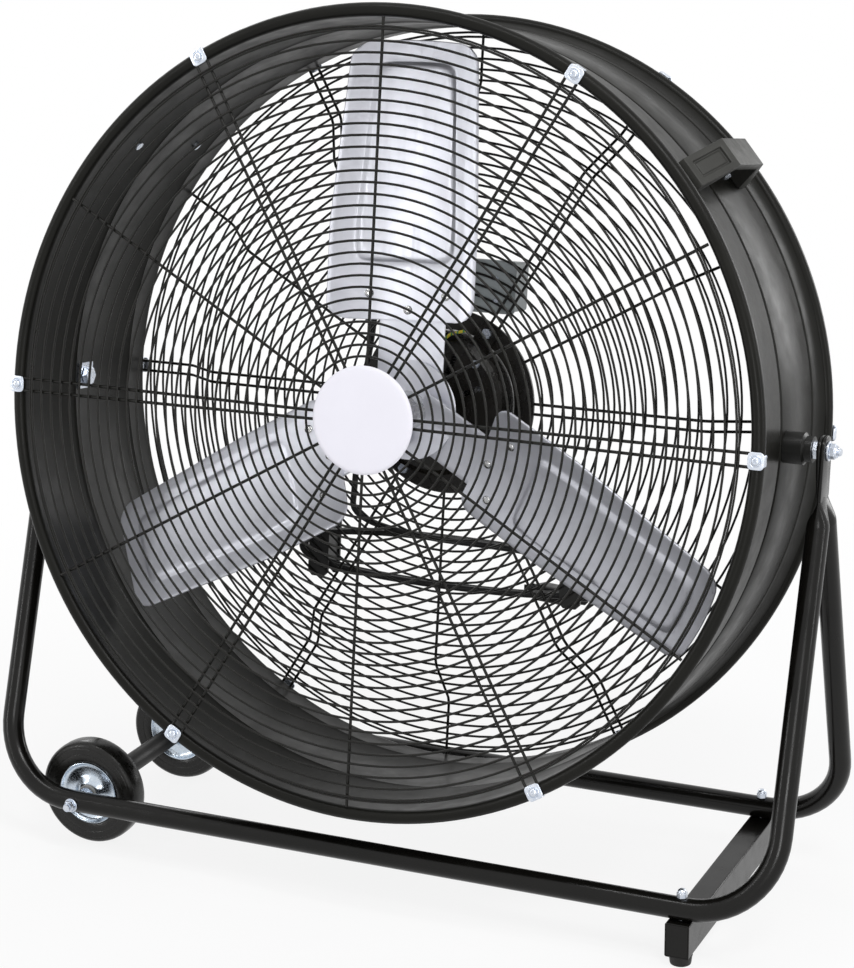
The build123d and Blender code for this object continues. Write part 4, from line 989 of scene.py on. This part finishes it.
# ------------------------------------------------------------------ fan
BLADE_LEAN = math.radians(23.0)
BLADE_LIFT = 0.012
# Reach ahead of and behind the middle line where the blade is widest, and how much each narrows.
WIDEST_AT, NARROWEST_AT = 0.1945, 0.370
LEADING, LEADING_TAPER, TRAILING, TRAILING_TAPER = 0.078, 0.012, 0.058, 0.008
BLADE_CORNER = 0.018
TRAILING_FOLD, FOLD_DROP = 0.013, 0.0024
PANEL_CORNER, PANEL_SLOPE, PANEL_RISE = 0.014, 0.0045, 0.003
PANEL_FROM_ROOT, PANEL_FROM_EDGE = 0.060, 0.022
# Rows of the pressed sheet by their distance from its root and from its tip, columns by their share
# of its width from either edge, all close together where the sheet bends.
ROOT_ROWS = [0.0, 0.0012, 0.004, 0.009, 0.016, 0.027, 0.04, 0.052, 0.060, 0.0612, 0.0624, 0.0636, 0.065,
             0.068, 0.074]
TIP_ROWS = [0.0, 0.0012, 0.004, 0.009, 0.015, 0.0215, 0.0227, 0.0239, 0.0251, 0.0265, 0.029, 0.035]
TRAIL_COLUMNS = [0.0, 0.03, 0.06, 0.088, 0.098, 0.11, 0.14, 0.158, 0.169, 0.180, 0.192, 0.205, 0.23]
LEAD_COLUMNS = [0.0, 0.03, 0.08, 0.14, 0.158, 0.169, 0.180, 0.192, 0.205, 0.23]
MIDDLE_ROWS = [0.082 + 0.0085 * i for i in range(20)]
MIDDLE_COLUMNS = [0.27 + 0.046 * i for i in range(11)]
# Places of the rivets on the flat sheet, and turned sections of a rivet and of the hub plate.
RIVETS = ((0.119, 0.042), (0.103, 0.006), (0.119, -0.030))
RIVET_SECTION = [(0.0026, -0.0045), (0.0026, 0.0022), (0.0046, 0.0023), (0.0047, 0.0029),
                 (0.0040, 0.0038), (0.0026, 0.0043), (0.0011, 0.0044)]
HUB_PLATE = [(0.0200, 0.0105), (0.0500, 0.0105), (0.0520, 0.0112), (0.0520, 0.0128), (0.0500, 0.0135),
             (0.0200, 0.0135)]
ARM_START, ARM_LENGTH, ARM_HALF_WIDTH, ARM_CORNER = 0.010, 0.118, 0.031, 0.012


def eased(share):
    """A share from 0 to 1 that starts and ends gently."""
    return share * share * (3.0 - 2.0 * share)


def blade_point(x, y, lift):
    """A place on the cambered, pitched sheet of a blade, lifted off its rear face."""
    radius = sizes().blade_camber
    across, up = math.cos(BLADE_LEAN), math.sin(BLADE_LEAN)
    chord = y / across
    for _ in range(4):
        rise = radius - math.sqrt(radius * radius - chord * chord)
        chord -= (chord * across - rise * up - y) / across
    rise = radius - math.sqrt(radius * radius - chord * chord)
    along = chord - lift * chord / radius
    high = rise + lift * math.sqrt(1.0 - (chord / radius) ** 2)
    return Vector((x, along * across - high * up, along * up + high * across + BLADE_LIFT))


def blade_limits(x):
    """How far the blade reaches ahead of and behind its middle line at this radius."""
    share = min(max((x - WIDEST_AT) / (NARROWEST_AT - WIDEST_AT), 0.0), 1.0)
    return LEADING - LEADING_TAPER * share, TRAILING - TRAILING_TAPER * share


def corner_cut(distance, radius):
    """How much a rounded corner takes off at this distance from the end."""
    if distance >= radius:
        return 0.0
    return radius - math.sqrt(max(radius * radius - (radius - distance) ** 2, 0.0))


def panel_lift(from_root, from_tip, from_lead, from_trail):
    """Height over the sheet: a raised panel and a turned-down trailing edge."""
    if from_trail < TRAILING_FOLD:
        return -FOLD_DROP * (1.0 - from_trail / TRAILING_FOLD)
    ends = min(from_root - PANEL_FROM_ROOT, from_tip - PANEL_FROM_EDGE)
    sides = min(from_lead, from_trail) - PANEL_FROM_EDGE
    if ends < PANEL_CORNER and sides < PANEL_CORNER:
        inside = PANEL_CORNER - math.hypot(PANEL_CORNER - ends, PANEL_CORNER - sides)
    else:
        inside = min(ends, sides)
    return PANEL_RISE * eased(min(max(inside / PANEL_SLOPE, 0.0), 1.0))


def pressed_blade():
    """One paddle along x: a grid is placed on the cambered sheet and pressed to its panel.

    Its UV map keeps the flat sheet in metres, so that the rolling marks follow the blade.
    """
    size = sizes()
    span = size.blade_tip - size.blade_root
    rows = ROOT_ROWS + MIDDLE_ROWS + [span - v for v in TIP_ROWS]
    rows = sorted(set(round(v, 5) for v in rows))
    columns = TRAIL_COLUMNS + MIDDLE_COLUMNS + [1.0 - v for v in LEAD_COLUMNS]
    columns = sorted(set(round(v, 4) for v in columns))
    start_piece()
    bpy.ops.mesh.primitive_grid_add(x_subdivisions=len(rows) - 1, y_subdivisions=len(columns) - 1,
                                    size=1.0)
    piece = settle(bpy.context.object)
    verts = iter(sorted(piece.data.vertices, key=lambda v: (round(v.co.x, 5), round(v.co.y, 5))))
    flat = {}
    for distance in rows:
        lead, trail = blade_limits(size.blade_root + distance)
        cut = max(corner_cut(distance, BLADE_CORNER), corner_cut(span - distance, BLADE_CORNER))
        low, high = cut - trail, lead - cut
        for share in columns:
            vert = next(verts)
            y = low + share * (high - low)
            reach = math.sqrt(size.blade_tip ** 2 - y * y)
            x = size.blade_root + distance / span * (reach - size.blade_root)
            vert.co = blade_point(x, y, panel_lift(distance, span - distance, lead - y, trail + y))
            flat[vert.index] = (x, y)
    layer = piece.data.uv_layers.active or piece.data.uv_layers.new(name="UVMap")
    for loop in piece.data.loops:
        layer.data[loop.index].uv = flat[loop.vertex_index]
    return smooth(sheet_of(piece, size.blade_sheet, 1.0, 0.0005), 30.0)


def spider_arm():
    """One pressed arm behind a blade's root."""
    start_piece()
    bpy.ops.mesh.primitive_grid_add(x_subdivisions=16, y_subdivisions=12, size=1.0)
    piece = settle(bpy.context.object)
    for vert in piece.data.vertices:
        share, across = vert.co.x + 0.5, vert.co.y * 2.0
        half = ARM_HALF_WIDTH - corner_cut(ARM_LENGTH * (1.0 - share), ARM_CORNER)
        vert.co = blade_point(ARM_START + ARM_LENGTH * share, across * half, -0.0001)
    return smooth(sheet_of(piece, 0.0028, -1.0, 0.0006), 35.0)


def domed_rivet(x, y):
    """A rivet through the blade and its arm, with a wide domed head in front."""
    base = blade_point(x, y, 0.0)
    return turned(RIVET_SECTION, 24, closed=False, angle=40.0,
                  place=aimed(base, blade_point(x, y, 0.004) - base))


class DRUMFAN_OT_blades(bpy.types.Operator):
    """Three pressed paddle blades with their spider and rivets"""
    bl_idname = "drum_fan.blades"
    bl_label = "Blades"

    def execute(self, context):
        """Press one blade and set three round the hub, on one spider with nine rivets."""
        for number, paddle in enumerate(around(pressed_blade(), BLADE_ANGLES), 1):
            paddle.data.transform(DRUM)
            finish_piece(paddle, "paddle_" + str(number), "rotor", "blade_aluminium",
                         "blade_" + str(number))
        plate = turned(HUB_PLATE, 72, angle=35.0)
        rivets = [rivet for spot in RIVETS for rivet in around(domed_rivet(*spot), BLADE_ANGLES)]
        for pieces, name, slot, node in (
                ([plate] + around(spider_arm(), BLADE_ANGLES), "spider", "blade_aluminium", "hub_spider"),
                (rivets, "domed_rivets", "bright_steel", "blade_rivets")):
            piece = join(pieces)
            piece.data.transform(DRUM)
            finish_piece(piece, name, "rotor", slot, node)
        return {"FINISHED"}


# ------------------------------------------------------------------ stand
# Half thickness and half width of a leg's pressed end, its height and its distance from the pivot.
PRESSED_THICKNESS, PRESSED_WIDTH = 0.0021, 0.0158
PRESSED_RUN, PRESSED_SPREAD = 0.030, 0.006
TAB_THICKNESS, TAB_RADIUS, TAB_TOE_DROP, TAB_TOE_WIDTH = 0.004, 0.015, 0.3, 1.06


def tube_ring(middle, way):
    """Start a tube: one ring of its wall, square to its way and selected in edit mode."""
    start_piece()
    bpy.ops.mesh.primitive_circle_add(vertices=32, radius=sizes().tube_radius, fill_type="NOTHING")
    turn = basis(ACROSS, way.cross(ACROSS), way)
    return edit(settle(bpy.context.object, Matrix.Translation(middle) @ turn))


def spin_about(centre, axis, before, after):
    """Spin the selected ring a quarter turn so that the way before becomes the way after."""
    quarter = Matrix.Rotation(PI / 2, 3, axis)
    sign = -1.0 if (quarter @ before - after).length < 0.01 else 1.0
    bpy.ops.mesh.spin(steps=14, angle=sign * PI / 2, center=centre, axis=axis)


def bent_frame(side, outer):
    """One U-shaped tube: extruded along its runs, spun round its bends, pressed flat at its ends."""
    size = sizes()
    radius, half_width = size.bend_radius, size.stand_half_width
    top = Vector((-half_width, side * size.leg_spread + PIVOT.y, size.leg_top))
    corner = Vector((-half_width, side * size.stand_half_depth + PIVOT.y, size.axle_height))
    straight = (corner - top).length - radius
    leg = (corner - top).normalized()
    axis = leg.cross(ACROSS)
    tube = tube_ring(top, leg)
    push_edges(leg * straight)
    spin_about(corner - leg * radius + ACROSS * radius, axis, leg, ACROSS)
    push_edges(ACROSS * (2 * half_width - 2 * radius))
    spin_about(corner + ACROSS * (2 * half_width - radius) - leg * radius, axis, ACROSS, -leg)
    push_edges(-leg * straight)
    to_object_mode()
    ends = [pressed_end(side, hand, outer, -leg) for hand in (-1.0, 1.0)]
    return smooth(join([outward(tube)] + ends), 45.0)


def pressed_end(side, hand, outer, leg):
    """The flattened, rounded end of one leg with the tab that takes the pivot bolt."""
    size = sizes()
    tab_x = size.stand_half_width - TAB_THICKNESS / 2 + (TAB_THICKNESS if outer else 0.0)
    base = Vector((hand * size.stand_half_width, side * size.leg_spread + PIVOT.y, size.leg_top))
    foot = Vector((hand * tab_x, side * PRESSED_SPREAD + PIVOT.y, size.leg_top + PRESSED_RUN))
    press = tube_ring(base, leg)
    thick = wide = size.tube_radius
    here = base.copy()
    for k in range(1, 9):
        share = eased(k / 8)
        there = base.lerp(foot, k / 8)
        there.x = base.x + (foot.x - base.x) * share
        push_edges(there - here)
        next_thick = size.tube_radius + (PRESSED_THICKNESS - size.tube_radius) * share
        next_wide = size.tube_radius + (PRESSED_WIDTH - size.tube_radius) * share
        bpy.ops.transform.resize(value=(next_thick / thick, next_wide / wide, 1.0), center_override=there)
        thick, wide, here = next_thick, next_wide, there
    to_object_mode()
    return join([outward(press), pivot_tab(foot)])


def pivot_tab(foot):
    """A flat plate with a round end at the pivot, drawn down to the pressed leg."""
    start_piece()
    bpy.ops.mesh.primitive_cylinder_add(vertices=48, radius=TAB_RADIUS, depth=TAB_THICKNESS,
                                        location=(foot.x, PIVOT.y, PIVOT.z), rotation=(0.0, PI / 2, 0.0))
    tab = settle(bpy.context.object)
    for vert in tab.data.vertices:
        if vert.co.z < PIVOT.z - 0.0001:
            vert.co.z = foot.z + (vert.co.z - PIVOT.z) * TAB_TOE_DROP
            vert.co.y = foot.y + (vert.co.y - PIVOT.y) * TAB_TOE_WIDTH
    return soften(tab, 0.0007, 2, 50.0)


class DRUMFAN_OT_stand(bpy.types.Operator):
    """Two bent tube frames with their pressed ends"""
    bl_idname = "drum_fan.stand"
    bl_label = "Stand"

    def execute(self, context):
        """Bend both frames."""
        for end, side in (("front", -1.0), ("rear", 1.0)):
            finish_piece(bent_frame(side, end == "front"), end + "_frame", "stand", "black_frame_paint",
                         end + "_stand_tube")
        return {"FINISHED"}


# ------------------------------------------------------------------ handles and fittings
HANDLE_WIDTH = 0.032
HANDLE_OUTLINE = [(-0.078, 0.0), (-0.078, 0.009), (-0.039, 0.041), (0.039, 0.041), (0.078, 0.009),
                  (0.078, 0.0), (0.063, 0.0), (0.036, 0.0325), (-0.036, 0.0325), (-0.063, 0.0)]
HANDLE_ANGLES = (("right", 40.3), ("left", 139.7))
BOLT_FLATS, NUT_CROWN = 0.017, 0.0006
SPACER_REACH = 0.028
PLATE_INSIDE = 0.3927
# Outwards from the tab: the washer's two faces, the thread's start, the shank's end, the nut's
# outer face and the bolt's tip.
PIVOT_STACK = (0.0003, 0.0023, 0.0060, 0.008, 0.0098, 0.0137)
HANDLE_RECESS = ((0.0066, 0.0), (0.0007, -0.0028), (0.0016, 0.0), (0.0008, 0.0010))
THREAD_PITCH, THREAD_DEPTH = 0.00125, 0.0005
# A lock nut's hexagon takes this share of its height, then its collar: share of the flats, of height.
HEXAGON_SHARE = 0.72
COLLAR = ((0.47, 0.66), (0.46, 0.86), (0.42, 1.0), (0.34, 1.0), (0.33, 0.93))
# Turned section of a foot nut's dome: radius, height.
FOOT_DOME = [(0.0046, 0.0), (0.0046, 0.0012), (0.0041, 0.0026), (0.0029, 0.0037), (0.0013, 0.0042)]


def grab_handle():
    """A moulded handle: its outline is extruded, each leg gets a framed recess, edges are rounded."""
    start_piece()
    bpy.ops.mesh.primitive_circle_add(vertices=len(HANDLE_OUTLINE), radius=0.05, fill_type="NGON")
    piece = settle(bpy.context.object)
    for vert, (along, up) in zip(piece.data.vertices, HANDLE_OUTLINE):
        vert.co = (along, up, -HANDLE_WIDTH / 2)
    edit(piece)
    push_faces((0.0, 0.0, HANDLE_WIDTH))
    outward(piece)
    pick(piece, "FACE", lambda face: face.normal.y > 0.3 and abs(face.normal.x) > 0.3)
    steps_in(*HANDLE_RECESS)
    return smooth(soften(piece, 0.0022, 3, 25.0), 35.0)


class DRUMFAN_OT_handles(bpy.types.Operator):
    """Two moulded grab handles"""
    bl_idname = "drum_fan.handles"
    bl_label = "Handles"

    def execute(self, context):
        """Mould one handle and lay it on both sides of the drum."""
        seats = [DRUM @ Matrix.Translation(polar(sizes().drum_radius, angle)) @
                 basis(Vector((0.0, 0.0, 1.0)), polar(1.0, angle), polar(1.0, angle + 90.0))
                 for _, angle in HANDLE_ANGLES]
        for (hand, _), handle in zip(HANDLE_ANGLES, copies(grab_handle(), seats)):
            finish_piece(handle, hand + "_grab_handle", "drum", "black_handle_plastic", hand + "_handle")
        return {"FINISHED"}


def thread(start, end, radius):
    """The bare end of a bolt, with turned rings for its thread and a chamfer."""
    run = Vector(end) - Vector(start)
    stations, z = [(radius, 0.0)], 0.0
    while z < run.length - 2.0 * THREAD_PITCH:
        stations += [(radius, z + 0.0001), (radius - THREAD_DEPTH, z + THREAD_PITCH / 2)]
        z += THREAD_PITCH
    stations += [(radius, run.length - 1.4 * THREAD_PITCH), (radius * 0.78, run.length)]
    return turned(stations, 24, closed=False, angle=50.0, place=aimed(start, run))


def washer(start, end, radius, bore=0.004, ease=0.0003):
    """A stamped washer with eased edges between two points."""
    run = Vector(end) - Vector(start)
    thick = run.length
    return turned([(bore, 0.0), (radius - ease, 0.0), (radius, ease), (radius, thick - ease),
                   (radius - ease, thick), (bore, thick)], 40, angle=30.0, place=aimed(start, run))


def nylon_nut(start, end, flats):
    """A lock nut: hexagon below, a rolled collar above."""
    start = Vector(start)
    run = Vector(end) - start
    body = nut(start, start + run * HEXAGON_SHARE, flats, NUT_CROWN, PI / 6)
    stations = [(flats * radius, run.length * height) for radius, height in COLLAR]
    return join([body, turned(stations, 32, closed=False, angle=40.0, place=aimed(start, run))])


def pivot_fittings():
    """Bolts, nuts and washers of both pivots, about the drum's own frame."""
    size = sizes()
    tab = size.stand_half_width + TAB_THICKNESS
    bolts, nuts, washers = [], [], []
    for side in (-1.0, 1.0):
        inside, beside = (side * PLATE_INSIDE, 0.0, 0.0), (side * (size.drum_radius + SPACER_REACH), 0.0, 0.0)
        seat, face, root, shank, collar, tip = ((side * (tab + rise), 0.0, 0.0) for rise in PIVOT_STACK)
        bolts += [bar(inside, shank, 0.005, 32), thread(root, tip, 0.0042),
                  nut(inside, (side * (PLATE_INSIDE - 0.0065), 0.0, 0.0), BOLT_FLATS, NUT_CROWN)]
        nuts += [nut(beside, (side * (tab - 0.0083), 0.0, 0.0), BOLT_FLATS, NUT_CROWN),
                 nylon_nut(face, collar, 0.0138)]
        washers.append(washer(seat, face, 0.0098))
    return bolts, nuts, washers


def axle_nuts():
    """A washer and a lock nut outside each frame, on the axle."""
    low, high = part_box("axle_nuts")
    pieces = []
    for side, face in ((-1.0, low.y), (1.0, high.y)):
        seat, rise, tip = ((HUB.x, y, HUB.z) for y in (face - side * 0.0081, face - side * 0.0065, face))
        pieces += [washer(seat, rise, 0.0076), nylon_nut(rise, tip, 0.0112)]
    return join(pieces)


def foot_nuts():
    """A domed nut over each foot, on the bottom runs."""
    low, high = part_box("foot_cap_nuts")
    pieces = []
    for y in (low.y + 0.0058, high.y - 0.0058):
        spot = Vector(((low.x + high.x) / 2, y, low.z))
        pieces.append(nut(spot, spot + Vector((0.0, 0.0, 0.0056)), 0.0098, 0.0005))
        spot.z = min(low.z + 0.0052, high.z - 0.0043)
        pieces.append(turned(FOOT_DOME, 32, closed=False, angle=60.0, place=Matrix.Translation(spot)))
    return join(pieces)


class DRUMFAN_OT_fittings(bpy.types.Operator):
    """Pivot bolts, nuts and washers, axle nuts and domed foot nuts"""
    bl_idname = "drum_fan.fittings"
    bl_label = "Fittings"

    def execute(self, context):
        """Turn and chamfer the fittings."""
        names = (("pivot_screws", "pivot_bolts"), ("pivot_lock_nuts", "pivot_nuts"),
                 ("pivot_flat_washers", "pivot_washers"))
        for pieces, (name, node) in zip(pivot_fittings(), names):
            piece = join(pieces)
            piece.data.transform(DRUM)
            finish_piece(piece, name, "drum", "zinc_hardware", node)

        finish_piece(axle_nuts(), "axle_lock_nuts", "stand", "zinc_hardware", "axle_nuts")
        finish_piece(foot_nuts(), "domed_foot_nuts", "stand", "zinc_hardware", "foot_cap_nuts")
        return {"FINISHED"}


# ------------------------------------------------------------------ beam and feet
BEAM_CORNER = 0.0020
BEAM_END = ((0.0012, 0.0), (0.0001, -0.0003), (0.0002, 0.0004))


def cross_beam():
    """A rectangular tube with rounded corners and closed ends."""
    low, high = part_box("foot_beam")
    reach = high - low
    beam = block((low + high) / 2, (reach.x, reach.y - 0.003, reach.z))
    pick(beam, "EDGE", lambda edge: abs(run_of(edge).y) > 0.1)
    bpy.ops.mesh.bevel(offset=BEAM_CORNER, segments=5, affect="EDGES")
    pick(beam, "FACE", lambda face: abs(face.normal.y) > 0.9)
    steps_in(*BEAM_END)
    return modify(smooth(beam, 35.0), "WEIGHTED_NORMAL", keep_sharp=True)


def rubber_feet():
    """Two turned feet, each with a recess beneath for its screw and an eased base."""
    low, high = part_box("rubber_feet")
    radius, height, middle = (high.x - low.x) / 2, high.z, (low.x + high.x) / 2
    stations = [(0.0064, 0.0040), (0.0066, 0.0004), (0.0078, 0.0), (radius - 0.0026, 0.0),
                (radius - 0.0016, 0.0006), (radius - 0.0012, 0.0018), (radius - 0.0004, height - 0.0022),
                (radius, height - 0.0014), (radius, height), (0.0034, height), (0.0034, 0.0040)]
    places = [Matrix.Translation((middle, y, 0.0)) for y in (low.y + radius, high.y - radius)]
    return join(copies(turned(stations, 48, angle=35.0), places))


class DRUMFAN_OT_feet(bpy.types.Operator):
    """Cross beam with closed ends and two rubber feet"""
    bl_idname = "drum_fan.feet"
    bl_label = "Beam and feet"

    def execute(self, context):
        """Round the beam's corners, close its ends and turn the feet."""
        finish_piece(cross_beam(), "cross_beam", "stand", "black_frame_paint", "foot_beam")
        finish_piece(rubber_feet(), "turned_feet", "stand", "black_rubber", "rubber_feet")
        return {"FINISHED"}


# ------------------------------------------------------------------ wheels
# Half sections, from the middle of the wheel's width outwards: radius, place along the axle.
TYRE_SEAT = (0.0351, 0.0)
TYRE_CROWN = (0.0585, 0.0)
TYRE_WALL = [(0.0584, 0.0044), (0.0580, 0.0076), (0.0572, 0.0101), (0.0560, 0.0119), (0.0544, 0.0131),
             (0.0524, 0.0137), (0.0515, 0.0135), (0.0510, 0.0138), (0.0450, 0.0139), (0.0445, 0.0136),
             (0.0440, 0.0138), (0.0392, 0.0133), (0.0366, 0.0127), (0.0352, 0.0117)]
RIM_EDGE = (0.0350, 0.0)
RIM_LIP = [(0.0350, 0.0124), (0.0348, 0.0130), (0.0343, 0.0132), (0.0338, 0.0128)]
RIM_DISH = [(0.0333, 0.0116), (0.0318, 0.0092), (0.0300, 0.0080), (0.0270, 0.0074), (0.0205, 0.0074),
            (0.0178, 0.0082), (0.0150, 0.0102), (0.0126, 0.0118), (0.0112, 0.0124), (0.0103, 0.0126)]
# The bush's whole section, from one end to the other.
BUSH_SECTION = [(0.0100, -0.0146), (0.0096, -0.0150), (0.0048, -0.0150), (0.0043, -0.0146),
                (0.0043, 0.0146), (0.0048, 0.0150), (0.0096, 0.0150), (0.0100, 0.0146)]


def plated_rim():
    """Two pressed halves, back to back."""
    back = [(radius - 0.0004, z - 0.0014) for radius, z in reversed(RIM_DISH)]
    outer = turned(RIM_LIP + RIM_DISH + back + [(0.0330, 0.0), RIM_EDGE], 96)
    inner = outward(copy_of(outer, MIRROR))
    return smooth(join([outer, inner]), 35.0)


class DRUMFAN_OT_wheels(bpy.types.Operator):
    """Two wheels with rubber tyres and plated rims"""
    bl_idname = "drum_fan.wheels"
    bl_label = "Wheels"

    def execute(self, context):
        """Turn the tyres, the rims and the bushes."""
        other_wall = [(radius, -z) for radius, z in reversed(TYRE_WALL)]
        tyre = turned(TYRE_WALL + [TYRE_SEAT] + other_wall + [TYRE_CROWN], 96, angle=30.0)
        rows = ((tyre, "rubber_tyre", "tyre_rubber", "tyre"),
                (plated_rim(), "plated_rim", "zinc_rim", "rim"),
                (turned(BUSH_SECTION, 48, angle=30.0), "wheel_bush", "grey_bush", "bush"))
        for end in ("front_", "rear_"):
            place = Matrix.Translation(JOINTS[end + "wheel_spin"]["pos_m"]) @ Matrix.Rotation(PI / 2, 4, "X")
            for first, name, slot, node in rows:
                finish_piece(copy_of(first, place), end + name, end + "wheel", slot, end + node)
        for row in rows:
            bpy.data.objects.remove(row[0])
        return {"FINISHED"}


# ------------------------------------------------------------------ add-on
OPERATORS = (
    DRUMFAN_OT_finishes,
    DRUMFAN_OT_stage,
    DRUMFAN_OT_cord,
    DRUMFAN_OT_drum,
    DRUMFAN_OT_front_guard,
    DRUMFAN_OT_rear_guard,
    DRUMFAN_OT_clips,
    DRUMFAN_OT_blades,
    DRUMFAN_OT_stand,
    DRUMFAN_OT_handles,
    DRUMFAN_OT_fittings,
    DRUMFAN_OT_feet,
    DRUMFAN_OT_wheels,
)


class DRUMFAN_PT_panel(bpy.types.Panel):
    """Lists the steps and the sizes of the fan"""
    bl_idname = "DRUMFAN_PT_panel"
    bl_label = "Drum Fan"
    bl_space_type = "VIEW_3D"
    bl_region_type = "UI"
    bl_category = "Drum Fan"

    def draw(self, context):
        """Show the operators, then the sizes and the colours."""
        for step in OPERATORS:
            self.layout.operator(step.bl_idname)
        for group in (context.scene.drum_fan_sizes, context.scene.drum_fan_colours):
            box = self.layout.box()
            for name in group.__annotations__:
                box.prop(group, name)


CLASSES = (DrumFanSizes, DrumFanColours) + OPERATORS + (DRUMFAN_PT_panel,)


def register():
    """Register the classes and hang the settings on the scene."""
    for made in CLASSES:
        bpy.utils.register_class(made)
    bpy.types.Scene.drum_fan_sizes = bpy.props.PointerProperty(type=DrumFanSizes)
    bpy.types.Scene.drum_fan_colours = bpy.props.PointerProperty(type=DrumFanColours)


def unregister():
    """Take the settings and the classes away again."""
    del bpy.types.Scene.drum_fan_sizes
    del bpy.types.Scene.drum_fan_colours
    for made in reversed(CLASSES):
        bpy.utils.unregister_class(made)


def main():
    """Register the classes and run every step in order."""
    register()
    for step in OPERATORS:
        group, name = step.bl_idname.split(".")
        getattr(getattr(bpy.ops, group), name)()
    start_piece()


if __name__ == "__main__":
    main()
